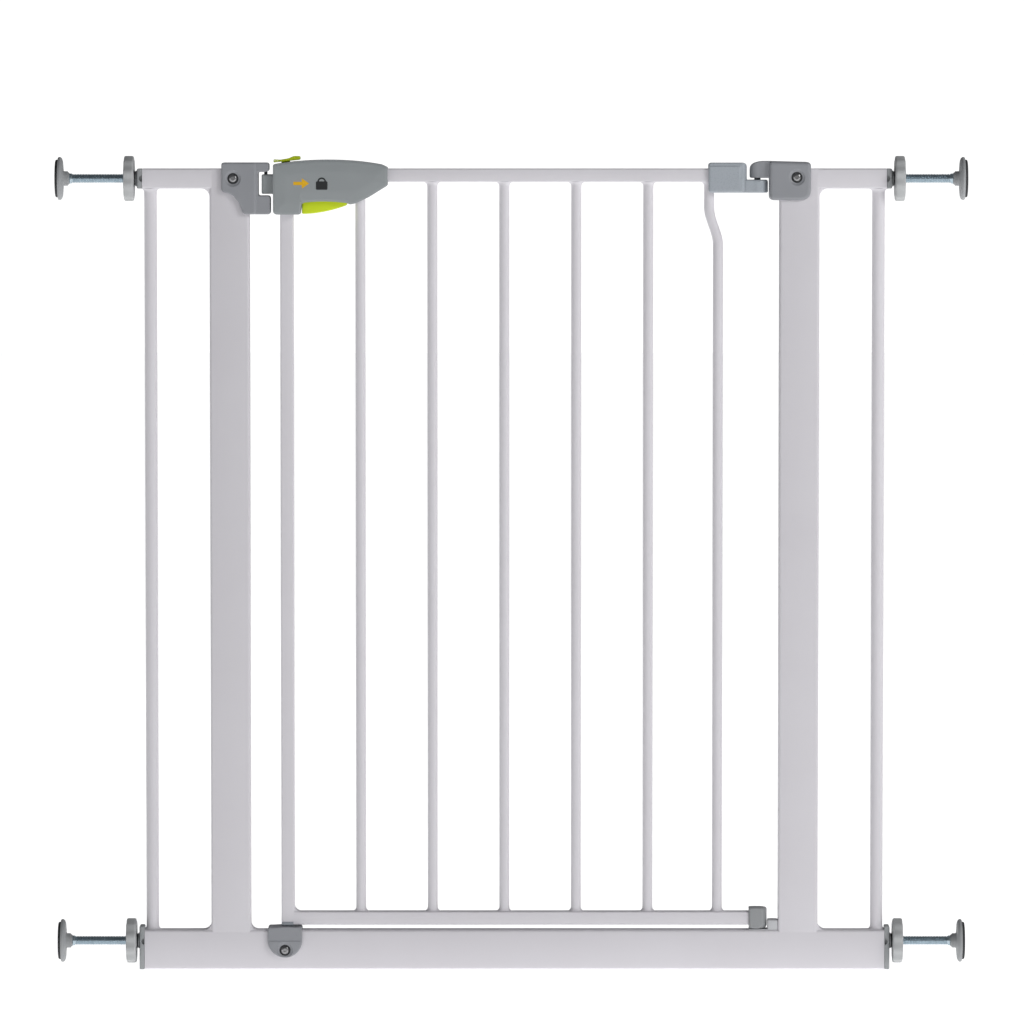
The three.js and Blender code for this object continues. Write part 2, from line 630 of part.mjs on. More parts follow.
// ---- Leaf ----
const stileInside = HALF_LEAF_TUBE - LEAF_WALL;
const slotHalfWidth = LINK_HALF_WIDTH + 0.8;
const slotY = [-slotHalfWidth, slotHalfWidth];
const stile = cut(
  block(-HALF_LEAF_TUBE, HALF_LEAF_TUBE, -HALF_LEAF_TUBE, HALF_LEAF_TUBE, STILE_BOTTOM - LEAF_TOP, 0),
  block(-stileInside, stileInside, -stileInside, stileInside, STILE_BOTTOM - LEAF_TOP - 1, 1),
  block(1, HALF_LEAF_TUBE + 1, ...slotY, TRIGGER_ARM_Z - 4, TRIGGER_ARM_Z + 9),
  block(-HALF_LEAF_TUBE - 1, -1, ...slotY, ROCKER_ROD_Z - 1.5, ROCKER_ROD_Z + BOLT_LIFT + 2.5),
);
add("leaf_stile", stile, whiteSteel, inStile);

const bracketPocketEnd = LEAF_BRACKET.shoulder - 6;
const topRailEnd = HINGE_X + bracketPocketEnd - FIT;
const topRail = railTube(STILE_RIGHT, topRailEnd, HALF_LEAF_TUBE, TOP_RAIL_BOTTOM, LEAF_TOP, LEAF_WALL);
add("leaf_top_rail", topRail, whiteSteel);
const bottomRailEnd = HINGE_X - SHOE_LEFT_REACH - FIT;
const bottomRail = railTube(STILE_RIGHT, bottomRailEnd, HALF_LEAF_TUBE, LEAF_BOTTOM, BOTTOM_RAIL_TOP, LEAF_WALL);
add("leaf_bottom_rail", bottomRail, whiteSteel);

for (let i = 0; i < BAR_COUNT; i += 1) {
  const x = FIRST_BAR_X + i * BAR_PITCH;
  add(`leaf_bar_${i + 1}`, rod(BAR_RADIUS, BOTTOM_RAIL_TOP, TOP_RAIL_BOTTOM).translate(x, 0, 0), whiteSteel);
}

// The last bar steps sideways near the top, so that it meets the rail beside the hinge bracket.
const BEND_STEPS = 12;
const bendLow = LEAF_TOP - BEND_LOW_DROP;
const bendHigh = LEAF_TOP - BEND_HIGH_DROP;
const bentProfile = [[0, BOTTOM_RAIL_TOP], [BAR_RADIUS, BOTTOM_RAIL_TOP]];
for (let i = 0; i <= BEND_STEPS; i += 1) {
  bentProfile.push([BAR_RADIUS, bendLow + ((bendHigh - bendLow) * i) / BEND_STEPS]);
}
bentProfile.push([BAR_RADIUS, TOP_RAIL_BOTTOM], [0, TOP_RAIL_BOTTOM]);
const bentBar = turned(bentProfile);
const bentPlaces = bentBar.getAttribute("position");
for (let i = 0; i < bentPlaces.count; i += 1) {
  const t = THREE.MathUtils.smoothstep(bentPlaces.getZ(i), bendLow, bendHigh);
  bentPlaces.setX(i, bentPlaces.getX(i) + BENT_BAR_X - BENT_BAR_SHIFT * t);
}
add("leaf_bent_bar", bentBar, whiteSteel);

const leafBlock = plate(
  outline([
    [LEAF_BRACKET.left, LEAF_BRACKET.bottom, 1.5],
    [LEAF_BRACKET.shoulder, LEAF_BRACKET.bottom],
    [LEAF_BRACKET.shoulder, LEAF_BRACKET.top, 3],
    [LEAF_BRACKET.left, LEAF_BRACKET.top, 1.5],
  ]),
  -LEAF_BLOCK_HALF_DEPTH,
  LEAF_BLOCK_HALF_DEPTH,
);
const leafArm = prism(
  armPlan(LEAF_BRACKET.shoulder - 2, LEAF_ARM_RADIUS, LEAF_ARM_RADIUS - 0.5),
  LEAF_BRACKET.bottom,
  LEAF_BRACKET.armTop,
);
const tubeGap = HALF_LEAF_TUBE + FIT;
const barGap = BAR_RADIUS + FIT;
const pocketLeft = LEAF_BRACKET.left - 5;
const bentSlotRight = -BENT_BAR_OFFSET - BENT_BAR_SHIFT + barGap;
add(
  "leaf_hinge_bracket",
  cut(
    join(leafBlock, leafArm),
    block(pocketLeft, bracketPocketEnd, -tubeGap, tubeGap, -LEAF_TUBE - FIT, FIT),
    block(pocketLeft, bentSlotRight, -barGap, barGap, LEAF_BRACKET.bottom - 1, -LEAF_TUBE),
    pinBore,
  ),
  paleGreyPlastic,
  onHinge,
);

const SHOE_GAP = 1; // from the base rail to the shoe
const shoeTop = BOTTOM_RAIL_TOP + SHOE_RISE - BASE_RAIL_HEIGHT;
const shoeDisc = rod(SHOE_RADIUS, SHOE_GAP, shoeTop, 40);
const shoeBlock = block(-SHOE_LEFT_REACH, 20, -SHOE_HALF_DEPTH, SHOE_HALF_DEPTH, SHOE_GAP, shoeTop);
const tenonHalf = stileInside - FIT;
const tenonY = [-tenonHalf, tenonHalf];
const railMiddle = LEAF_GROUND_GAP + HALF_LEAF_TUBE;
const tenonZ = [railMiddle - tenonHalf, railMiddle + tenonHalf];
const tenon = block(-SHOE_LEFT_REACH - 20, 0.5 - SHOE_LEFT_REACH, ...tenonY, ...tenonZ);
const pegBore = rod(PIN_RADIUS + FIT, 0, pegTop + FIT);
const shoe = cut(join(common(shoeDisc, shoeBlock), tenon), pegBore);
add("bottom_hinge_shoe", shoe, paleGreyPlastic, onPeg);

const plugHalf = HALF_LEAF_TUBE - 0.1;
const plugBottom = PLUG_BOTTOM - LEAF_TOP;
const plugTop = STILE_BOTTOM - LEAF_TOP;
add(
  "stile_end_plug",
  cut(
    join(
      block(-plugHalf, plugHalf, -plugHalf, plugHalf, plugBottom, plugTop),
      block(-tenonHalf, tenonHalf, ...tenonY, plugTop - 1, plugTop + SLEEVE_LENGTH),
    ),
    rod(ROD_RADIUS + FIT, plugBottom - 1, plugTop + SLEEVE_LENGTH + 1),
  ),
  paleGreyPlastic,
  inStile,
);

// ---- Latch housing ----
// The side view of the housing without its tongue, drawn inwards by an inset.
function housingOutline(inset) {
  const left = HOUSING.left + inset;
  const right = HOUSING.right - inset;
  const bottom = HOUSING.bottom + inset;
  const notchLeft = TRIGGER_LEFT - 1.4 - inset; // the trigger's cut-out begins here
  const notchTop = -33 + inset;
  const slope = inset * 1.18; // a wall measured upwards on the sloping edge at the lower right
  const shape = new THREE.Shape();
  shape.moveTo(left, bottom);
  shape.lineTo(notchLeft, bottom);
  shape.lineTo(notchLeft + 1.2, notchTop - 1);
  shape.quadraticCurveTo(notchLeft + 2.2, notchTop + 0.6, notchLeft + 5.8 + inset, notchTop + 1);
  shape.quadraticCurveTo(45.35, notchTop + 3.2, TRIGGER_PIVOT.x + 1, notchTop + 0.4);
  shape.lineTo(TRIGGER_PIVOT.x + 4.4, -34 + slope);
  shape.lineTo(TRIGGER_PIVOT.x + 10, -33 + slope);
  shape.lineTo(HOUSING.right - 17.6, -27 + slope);
  shape.lineTo(right, -16 + slope / 2);
  shape.lineTo(right, 2.7 - inset);
  shape.bezierCurveTo(65.35, 11 - inset, 23.35, 9.2 - inset, left, 4.2 - inset);
  shape.closePath();
  return shape;
}

function tongueOutline(inset) {
  const { left, bottom, top } = TONGUE;
  return rectangle(left + inset, HOUSING.left + 6, bottom + inset, top - inset);
}

const insideHalfDepth = HOUSING_HALF_DEPTH - HOUSING_WALL;
const housingSkin = join(
  plate(housingOutline(0), -HOUSING_HALF_DEPTH, HOUSING_HALF_DEPTH, { curveSegments: 10 }),
  plate(tongueOutline(0), -TONGUE.halfDepth, TONGUE.halfDepth),
);
const tongueInside = TONGUE.halfDepth - HOUSING_WALL;
const housingHollow = join(
  plate(housingOutline(HOUSING_WALL), -insideHalfDepth, insideHalfDepth, { curveSegments: 10 }),
  plate(tongueOutline(HOUSING_WALL), -tongueInside, tongueInside),
);

// A pair of bosses that hold a pin from both sides, leaving a gap for the piece that turns on it.
function pinBosses(x, z, halfGap) {
  const outer = insideHalfDepth + 0.5;
  return [rodAlongY(PIN_BOSS_RADIUS, x, z, -outer, -halfGap), rodAlongY(PIN_BOSS_RADIUS, x, z, halfGap, outer)];
}

function pinHole(x, z, halfLength) {
  return rodAlongY(HOUSING_PIN_RADIUS + FIT, x, z, -halfLength - FIT, halfLength + FIT);
}
const triggerPinHalf = insideHalfDepth - FIT;
const triggerGap = TRIGGER_HALF_WIDTH + 0.5;
const housingScrewZ = -LEAF_TUBE - HOUSING_SCREW_DROP;
const bosses = [
  ...pinBosses(ROCKER_PIVOT_X, ROCKER_PIVOT_Z, WINDOW_HALF_WIDTH + 0.2),
  ...pinBosses(TRIGGER_PIVOT.x, TRIGGER_PIVOT.z, triggerGap),
  ...HOUSING_SCREW_XS.map((x) =>
    rodAlongY(HOUSING_BOSS_RADIUS, x, housingScrewZ, -insideHalfDepth - 0.5, insideHalfDepth + 0.5),
  ),
];
const stemGap = 0.7;
const slotY2 = [-SLIDE_SLOT_HALF_WIDTH, SLIDE_SLOT_HALF_WIDTH];
const firstBar = HALF_LEAF_TUBE + FIRST_BAR_OFFSET;
const openings = [
  block(-FIT, LEAF_TUBE + FIT, -tubeGap, tubeGap, HOUSING.bottom - 1, HOUSING.bottom + 6),
  block(HOUSING.right - 6, HOUSING.right + 1, -tubeGap, tubeGap, -LEAF_TUBE - FIT, FIT),
  block(firstBar - barGap, firstBar + barGap, -barGap, barGap, HOUSING.bottom, -LEAF_TUBE),
  block(TRIGGER_LEFT - 4, TRIGGER_PIVOT.x + 4, -triggerGap, triggerGap, HOUSING.bottom - 3, TRIGGER_PIVOT.z),
  rod(TOP_BOLT_RADIUS + FIT, TONGUE.top - 5, TONGUE.top + 1).translate(TOP_BOLT_X, 0, 0),
  block(SLIDE.stemLeft - stemGap, SLIDE.stemRight + SLIDE_TRAVEL + stemGap, ...slotY2, 1, 13),
  pinHole(ROCKER_PIVOT_X, ROCKER_PIVOT_Z, ROCKER_PIN_HALF_LENGTH),
  pinHole(TRIGGER_PIVOT.x, TRIGGER_PIVOT.z, triggerPinHalf),
];
const screwSeatY = HOUSING_HALF_DEPTH - HOUSING_SCREW_SINK;
const screwTipY = screwSeatY - HOUSING_SCREW_LENGTH;
const housingScrewHoles = HOUSING_SCREW_XS.flatMap((x) => [
  rodAlongY(HOUSING_SCREW_HEAD_RADIUS + FIT, x, housingScrewZ, screwSeatY, HOUSING_HALF_DEPTH + 1),
  rodAlongY(HOUSING_SCREW_SHANK_RADIUS + FIT, x, housingScrewZ, screwTipY - FIT, HOUSING_HALF_DEPTH + 1),
]);
const hollowHousing = join(cut(housingSkin, housingHollow), ...bosses);
const housing = cut(hollowHousing, ...openings, ...housingScrewHoles);
const housingSpan = [TONGUE.left - 10, HOUSING.right + 10];
add("housing_front", common(housing, block(...housingSpan, -40, 0, -60, 40)), greyPlastic, inLatch);
add("housing_rear", common(housing, block(...housingSpan, 0, 40, -60, 40)), greyPlastic, inLatch);
HOUSING_SCREW_XS.forEach((x, i) => {
  const head = rodAlongY(HOUSING_SCREW_HEAD_RADIUS, x, housingScrewZ, screwSeatY, HOUSING_HALF_DEPTH);
  const shank = rodAlongY(HOUSING_SCREW_SHANK_RADIUS, x, housingScrewZ, screwTipY, screwSeatY + 1);
  add(`housing_screw_${i + 1}`, join(head, shank), brightSteel, inLatch);
});

// ---- Latch works ----
// The slide lock rides on the housing's crown, with a stem through the slot and a foot that keeps it there.
const slideTop = outline([
  [SLIDE.left, 5.7, 0.4],
  [SLIDE.right, 8.4, 0.8],
  [SLIDE.right, 11.9, 1.2],
  [SLIDE.right - 6.5, 12, 2],
  [SLIDE.right - 10, 9.6, 1.5],
  [SLIDE.left, 8.7, 0.8],
]);
const stemX = [SLIDE.stemLeft, SLIDE.stemRight];
add(
  "slide_lock",
  join(
    plate(slideTop, -SLIDE.halfWidth, SLIDE.halfWidth),
    block(...stemX, FIT - SLIDE_SLOT_HALF_WIDTH, SLIDE_SLOT_HALF_WIDTH - FIT, 1.4, 8.5),
    block(...stemX, -6, 6, 0.8, 2.2),
  ),
  limePlastic,
  inLatch,
);

const pivot = TRIGGER_PIVOT;
const triggerOutline = new THREE.Shape();
triggerOutline.moveTo(TRIGGER_LEFT, -43.2);
triggerOutline.quadraticCurveTo(47.35, -43.4, pivot.x + 1, pivot.z - 7.2);
triggerOutline.absarc(pivot.x, pivot.z, 3.8, -Math.PI / 3, Math.PI / 2, false);
triggerOutline.quadraticCurveTo(48.35, pivot.z + 3.6, TRIGGER_LEFT, pivot.z + 2.6);
triggerOutline.closePath();
const armTip = HALF_LEAF_TUBE + FIT;
const triggerArm = outline([
  [armTip, TRIGGER_ARM_Z - NOSE_RADIUS, 1],
  [TRIGGER_LEFT + 2, TRIGGER_ARM_Z - NOSE_RADIUS],
  [TRIGGER_LEFT + 2, TRIGGER_ARM_Z + NOSE_RADIUS],
  [armTip, TRIGGER_ARM_Z + NOSE_RADIUS, 1],
]);
add(
  "trigger",
  cut(
    join(
      plate(triggerOutline, -TRIGGER_HALF_WIDTH, TRIGGER_HALF_WIDTH, { curveSegments: 8 }),
      plate(triggerArm, -LINK_HALF_WIDTH, LINK_HALF_WIDTH),
    ),
    rodAlongY(HOUSING_PIN_RADIUS + FIT, pivot.x, pivot.z, -20, 20),
  ),
  limePlastic,
  inLatch,
);
const triggerPin = rodAlongY(HOUSING_PIN_RADIUS, pivot.x, pivot.z, -triggerPinHalf, triggerPinHalf);
add("trigger_pin", triggerPin, darkSteel, inLatch);

// A window right through the rod or the top bolt, in which a nose works.
function noseWindow(x, z) {
  const windowY = [-WINDOW_HALF_WIDTH, WINDOW_HALF_WIDTH];
  return block(x - 8, x + 8, ...windowY, z - WINDOW_HALF_HEIGHT, z + WINDOW_HALF_HEIGHT);
}
const rodTip = BASE_RAIL_HEIGHT - ROD_ENGAGEMENT - LEAF_TOP;
const collarBottom = COLLAR_TOP - ROD_COLLAR_THICKNESS;
const rodCollarRadius = ROD_RADIUS + ROD_COLLAR_STEP;
const boltRod = cut(
  turned([
    [0, rodTip],
    [ROD_RADIUS - 1, rodTip],
    [ROD_RADIUS, rodTip + 1],
    [ROD_RADIUS, collarBottom],
    [rodCollarRadius, collarBottom],
    [rodCollarRadius, COLLAR_TOP],
    [ROD_RADIUS, COLLAR_TOP],
    [ROD_RADIUS, ROD_TOP],
    [0, ROD_TOP],
  ]),
  noseWindow(0, TRIGGER_ARM_Z),
  noseWindow(0, ROCKER_ROD_Z),
);
add("bolt_rod", boltRod, zinc, inStile);

const springBottom = COLLAR_TOP + SPRING_WIRE_RADIUS + FIT;
const springTop = BUSH_BOTTOM - SPRING_WIRE_RADIUS - FIT;
class Helix extends THREE.Curve {
  getPoint(t, target = new THREE.Vector3()) {
    const angle = 2 * Math.PI * SPRING_COILS * t;
    const z = springBottom + (springTop - springBottom) * t;
    return target.set(SPRING_RADIUS * Math.cos(angle), SPRING_RADIUS * Math.sin(angle), z);
  }
}
const wire = new THREE.Shape().absarc(0, 0, SPRING_WIRE_RADIUS, 0, 2 * Math.PI, false);
const springSteps = SPRING_COILS * 10;
const spring = new THREE.ExtrudeGeometry(wire, { steps: springSteps, extrudePath: new Helix(), curveSegments: 3 });
add("rod_spring", spring, brightSteel, inStile);
const bushZ = [BUSH_BOTTOM, BUSH_BOTTOM + BUSH_LENGTH];
add(
  "spring_bush",
  cut(
    block(-tenonHalf, tenonHalf, ...tenonY, ...bushZ),
    rod(ROD_RADIUS + FIT, BUSH_BOTTOM - 1, BUSH_BOTTOM + BUSH_LENGTH + 1),
  ),
  greyPlastic,
  inStile,
);

// The rocker is drawn level about its pivot and then tilted to its rest angle, rod end down.
const rockerY = [-LINK_HALF_WIDTH, LINK_HALF_WIDTH];
const rockerLevel = cut(
  join(
    rodAlongY(PIN_BOSS_RADIUS - 0.2, 0, 0, ...rockerY),
    block(-ROCKER_LEFT_ARM, ROCKER_RIGHT_ARM, ...rockerY, -1, 1),
    rodAlongY(NOSE_RADIUS, -ROCKER_LEFT_ARM, 0, ...rockerY, 12),
    rodAlongY(NOSE_RADIUS, ROCKER_RIGHT_ARM, 0, ...rockerY, 12),
  ),
  rodAlongY(HOUSING_PIN_RADIUS + FIT, 0, 0, -5, 5),
);
const rocker = rockerLevel.rotateY(ROCKER_TILT).translate(ROCKER_PIVOT_X, 0, ROCKER_PIVOT_Z);
add("rocker", rocker, darkSteel, inLatch);
const rockerPinY = [-ROCKER_PIN_HALF_LENGTH, ROCKER_PIN_HALF_LENGTH];
const rockerPin = rodAlongY(HOUSING_PIN_RADIUS, ROCKER_PIVOT_X, ROCKER_PIVOT_Z, ...rockerPinY);
add("rocker_pin", rockerPin, brightSteel, inLatch);

const FOOT_HALF_HEIGHT = 3.2;
const FOOT_HALF_WIDTH = 3.6;
const footZ = [TOP_BOLT_NOSE_Z - FOOT_HALF_HEIGHT, TOP_BOLT_NOSE_Z + FOOT_HALF_HEIGHT];
const foot = block(TOP_BOLT_X - 1.3, TOP_BOLT_X + 2.2, -FOOT_HALF_WIDTH, FOOT_HALF_WIDTH, ...footZ);
const topBoltPin = rod(TOP_BOLT_RADIUS, TOP_BOLT_NOSE_Z + 1, TOP_BOLT_TIP_Z, 16).translate(TOP_BOLT_X, 0, 0);
add("top_bolt", cut(join(foot, topBoltPin), noseWindow(TOP_BOLT_X, TOP_BOLT_NOSE_Z)), darkSteel, inLatch);

export default gate;
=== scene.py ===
import math

import bpy
from mathutils import Matrix, Vector


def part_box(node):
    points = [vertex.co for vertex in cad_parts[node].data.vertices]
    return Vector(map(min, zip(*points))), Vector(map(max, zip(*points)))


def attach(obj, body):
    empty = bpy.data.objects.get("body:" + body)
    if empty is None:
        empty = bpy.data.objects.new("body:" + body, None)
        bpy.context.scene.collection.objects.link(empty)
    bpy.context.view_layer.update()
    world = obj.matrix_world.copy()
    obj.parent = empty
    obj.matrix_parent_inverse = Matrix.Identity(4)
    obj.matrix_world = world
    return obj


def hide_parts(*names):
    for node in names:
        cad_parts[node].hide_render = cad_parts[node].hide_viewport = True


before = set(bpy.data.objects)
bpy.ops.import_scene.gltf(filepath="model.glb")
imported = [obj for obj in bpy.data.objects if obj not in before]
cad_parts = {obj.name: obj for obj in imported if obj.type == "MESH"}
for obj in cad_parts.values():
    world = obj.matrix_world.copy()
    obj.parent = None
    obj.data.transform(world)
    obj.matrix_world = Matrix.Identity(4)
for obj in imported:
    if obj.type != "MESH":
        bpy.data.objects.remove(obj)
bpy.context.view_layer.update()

MM = 0.001

# ---- Camera, daylight and floor ----
view_target = Vector((-2.4, 0, 439)) * MM
camera_distance = 6.5
camera_pitch = math.radians(3.6)
bpy.ops.object.camera_add(
    location=view_target
    + camera_distance * Vector((0, -math.cos(camera_pitch), math.sin(camera_pitch))),
    rotation=(math.pi / 2 - camera_pitch, 0, 0),
)
camera = bpy.context.object
camera.data.sensor_width = 36
camera.data.lens = 36 * camera_distance / 0.979
camera.data.clip_end = 60
bpy.context.scene.camera = camera


def softbox(name, place, size, watts):
    """A square studio light that faces the middle of the gate."""
    bpy.ops.object.light_add(type="AREA", location=place)
    light = bpy.context.object
    light.name = name
    light.data.size = size
    light.data.energy = watts
    light.rotation_mode = "QUATERNION"
    light.rotation_quaternion = (Vector((0, 0, 0.4)) - Vector(place)).to_track_quat("-Z", "Y")


softbox("key_softbox", (2.6, -1.9, 2.2), 1.1, 44)
softbox("fill_softbox", (-3.0, -2.2, 1.2), 2.4, 3)
softbox("back_softbox", (0.5, 3.0, 2.6), 2.5, 8)


def add_node(tree, kind, settings=None, **inputs):
    """Adds a node with its settings, and fills each input with a value or the socket that feeds it."""
    made = tree.nodes.new(kind)
    for name, value in (settings or {}).items():
        setattr(made, name, value)
    for name, value in inputs.items():
        socket = made.inputs[name.replace("_", " ")]
        if isinstance(value, bpy.types.NodeSocket):
            tree.links.new(value, socket)
        else:
            socket.default_value = value
    return made


world = bpy.data.worlds.new("white_studio")
world.use_nodes = True
bpy.context.scene.world = world
tree = world.node_tree
tree.nodes.clear()
paper = add_node(tree, "ShaderNodeBackground", Color=(1, 1, 1, 1), Strength=1.1)
room = add_node(tree, "ShaderNodeBackground", Color=(0.97, 0.98, 1, 1), Strength=0.14)
seen = add_node(tree, "ShaderNodeLightPath")
both = add_node(tree, "ShaderNodeMixShader", Fac=seen.outputs["Is Camera Ray"])
tree.links.new(room.outputs[0], both.inputs[1])
tree.links.new(paper.outputs[0], both.inputs[2])
add_node(tree, "ShaderNodeOutputWorld", Surface=both.outputs[0])
bpy.context.scene.view_settings.view_transform = "Standard"

# ---- Materials ----


def linear(colour):
    """An sRGB hex colour as linear values."""
    parts = [int(colour[i : i + 2], 16) / 255 for i in (1, 3, 5)]
    return [p / 12.92 if p <= 0.04045 else ((p + 0.055) / 1.055) ** 2.4 for p in parts] + [1.0]


def new_material(name):
    material = bpy.data.materials.new(name)
    material.use_nodes = True
    material.node_tree.nodes.clear()
    return material, material.node_tree


def powder_coat():
    """White polyester powder coat, sprayed and baked: satin, with faint orange peel and a lilac cast."""
    material, tree = new_material("powder_coated_steel_white")
    place = add_node(tree, "ShaderNodeTexCoord").outputs["Object"]
    # Cloudy film thickness, 90 mm across.
    cloud = add_node(tree, "ShaderNodeTexNoise", Vector=place, Scale=1000 / 90, Detail=3.0)
    colour = add_node(tree, "ShaderNodeMixRGB", Fac=cloud.outputs["Fac"])
    colour.inputs["Color1"].default_value = linear("#D6D3D8")
    colour.inputs["Color2"].default_value = linear("#DDDBE0")
    # Orange peel: real waves are finer and lower than these, drawn 2.4 mm apart so that they show.
    peel = add_node(tree, "ShaderNodeTexNoise", Vector=place, Scale=1000 / 2.4, Detail=2.0)
    bump = add_node(
        tree, "ShaderNodeBump", Height=peel.outputs["Fac"], Strength=0.35, Distance=0.05 * MM
    )
    gloss = add_node(tree, "ShaderNodeMapRange", Value=cloud.outputs["Fac"], To_Min=0.34, To_Max=0.44)
    paint = add_node(
        tree,
        "ShaderNodeBsdfPrincipled",
        Base_Color=colour.outputs[0],
        Roughness=gloss.outputs[0],
        IOR=1.5,
        Normal=bump.outputs[0],
    )
    add_node(tree, "ShaderNodeOutputMaterial", Surface=paint.outputs[0])
    return material


def moulded_plastic(name, face, shade, roughness, grain=0.8, height=0.02):
    """Plastic moulded in a spark-eroded tool: satin, with a fine even grain and faint flow clouds."""
    material, tree = new_material(name)
    place = add_node(tree, "ShaderNodeTexCoord").outputs["Object"]
    # Flow clouds in the moulding, 35 mm across.
    cloud = add_node(tree, "ShaderNodeTexNoise", Vector=place, Scale=1000 / 35, Detail=2.0)
    colour = add_node(tree, "ShaderNodeMixRGB", Fac=cloud.outputs["Fac"])
    colour.inputs["Color1"].default_value = linear(shade)
    colour.inputs["Color2"].default_value = linear(face)
    # The tool's grain is about 0.3 mm; it is drawn coarser so that it shows.
    pits = add_node(tree, "ShaderNodeTexNoise", Vector=place, Scale=1000 / grain, Detail=4.0)
    bump = add_node(
        tree, "ShaderNodeBump", Height=pits.outputs["Fac"], Strength=0.5, Distance=height * MM
    )
    gloss = add_node(
        tree,
        "ShaderNodeMapRange",
        Value=pits.outputs["Fac"],
        To_Min=roughness - 0.05,
        To_Max=roughness + 0.07,
    )
    plastic = add_node(
        tree,
        "ShaderNodeBsdfPrincipled",
        Base_Color=colour.outputs[0],
        Roughness=gloss.outputs[0],
        IOR=1.49,
        Normal=bump.outputs[0],
    )
    add_node(tree, "ShaderNodeOutputMaterial", Surface=plastic.outputs[0])
    return material


def moulded_rubber():
    """Black moulded rubber, matt and slightly dusty, with a fine leathery grain."""
    material, tree = new_material("moulded_rubber_black")
    place = add_node(tree, "ShaderNodeTexCoord").outputs["Object"]
    # Bloom and dust in patches 14 mm across.
    dust = add_node(tree, "ShaderNodeTexNoise", Vector=place, Scale=1000 / 14, Detail=5.0)
    colour = add_node(tree, "ShaderNodeMixRGB", Fac=dust.outputs["Fac"])
    colour.inputs["Color1"].default_value = linear("#2B2C2E")
    colour.inputs["Color2"].default_value = linear("#3C3D40")
    # Grain 0.7 mm across.
    grain = add_node(tree, "ShaderNodeTexVoronoi", Vector=place, Scale=1000 / 0.7)
    bump = add_node(
        tree, "ShaderNodeBump", Height=grain.outputs["Distance"], Strength=0.5, Distance=0.04 * MM
    )
    rubber = add_node(
        tree,
        "ShaderNodeBsdfPrincipled",
        Base_Color=colour.outputs[0],
        Roughness=0.78,
        IOR=1.52,
        Normal=bump.outputs[0],
    )
    add_node(tree, "ShaderNodeOutputMaterial", Surface=rubber.outputs[0])
    return material


def plated_metal(name, bright, dull, low_gloss, high_gloss, patch, line):
    """A metal finish with soft patches in the plating and fine lines from drawing or turning."""
    material, tree = new_material(name)
    place = add_node(tree, "ShaderNodeTexCoord").outputs["Object"]
    # Patches in the plating, some millimetres across.
    cloud = add_node(tree, "ShaderNodeTexNoise", Vector=place, Scale=1000 / patch, Detail=4.0)
    colour = add_node(tree, "ShaderNodeMixRGB", Fac=cloud.outputs["Fac"])
    colour.inputs["Color1"].default_value = linear(dull)
    colour.inputs["Color2"].default_value = linear(bright)
    gloss = add_node(
        tree, "ShaderNodeMapRange", Value=cloud.outputs["Fac"], To_Min=high_gloss, To_Max=low_gloss
    )
    # Fine scratches and drawing marks.
    marks = add_node(tree, "ShaderNodeTexNoise", Vector=place, Scale=1000 / line, Detail=3.0)
    bump = add_node(
        tree, "ShaderNodeBump", Height=marks.outputs["Fac"], Strength=0.3, Distance=0.015 * MM
    )
    metal = add_node(
        tree,
        "ShaderNodeBsdfPrincipled",
        Base_Color=colour.outputs[0],
        Metallic=1.0,
        Roughness=gloss.outputs[0],
        Normal=bump.outputs[0],
    )
    add_node(tree, "ShaderNodeOutputMaterial", Surface=metal.outputs[0])
    return material


def pad_print(name, colour_code):
    """One-colour pad-printed ink: thin, even and a little glossier than the plastic under it."""
    material, tree = new_material(name)
    place = add_node(tree, "ShaderNodeTexCoord").outputs["Object"]
    # Ink density varies a little over 2 mm.
    density = add_node(tree, "ShaderNodeTexNoise", Vector=place, Scale=1000 / 2, Detail=2.0)
    colour = add_node(tree, "ShaderNodeMixRGB", {"blend_type": "MULTIPLY"}, Fac=0.18)
    colour.inputs["Color1"].default_value = linear(colour_code)
    tree.links.new(density.outputs["Fac"], colour.inputs["Color2"])
    ink = add_node(
        tree, "ShaderNodeBsdfPrincipled", Base_Color=colour.outputs[0], Roughness=0.36, IOR=1.5
    )
    add_node(tree, "ShaderNodeOutputMaterial", Surface=ink.outputs[0])
    return material


def studio_paper():
    """Matt white background paper, lit from behind so that it reads white."""
    material, tree = new_material("studio_paper")
    place = add_node(tree, "ShaderNodeTexCoord").outputs["Object"]
    fibres = add_node(tree, "ShaderNodeTexNoise", Vector=place, Scale=400.0)
    gloss = add_node(tree, "ShaderNodeMapRange", Value=fibres.outputs["Fac"], To_Min=0.9, To_Max=1.0)
    sheet = add_node(
        tree,
        "ShaderNodeBsdfPrincipled",
        Base_Color=linear("#F6F6F6"),
        Roughness=gloss.outputs[0],
        Emission_Color=(1, 1, 1, 1),
        Emission_Strength=0.88,
    )
    sheet.inputs["Specular IOR Level"].default_value = 0.0
    add_node(tree, "ShaderNodeOutputMaterial", Surface=sheet.outputs[0])
    return material


white_steel = powder_coat()
housing_grey = moulded_plastic("housing_plastic_grey", "#959A9C", "#8E9395", 0.5)
keeper_grey = moulded_plastic("bracket_plastic_grey", "#94969B", "#8D8F94", 0.44)
hinge_grey = moulded_plastic("hinge_plastic_light_grey", "#A8AEB5", "#A0A7AE", 0.27, 1.2, 0.003)
nut_grey = moulded_plastic("nut_plastic_pale_grey", "#B5B7B8", "#ADAFB0", 0.5)
cup_grey = moulded_plastic("pad_cup_plastic_grey", "#A0A2A4", "#989A9C", 0.5)
plug_grey = moulded_plastic("end_plug_plastic_grey", "#A3A6A8", "#9A9D9F", 0.5)
shoe_grey = moulded_plastic("shoe_plastic_grey", "#97999B", "#8F9193", 0.4)
tab_grey = moulded_plastic("hinge_plate_plastic_pale_grey", "#C8C9CC", "#C0C1C4", 0.45)
lime = moulded_plastic("lime_plastic", "#CDE000", "#C5D900", 0.5, 0.9, 0.015)
rubber = moulded_rubber()
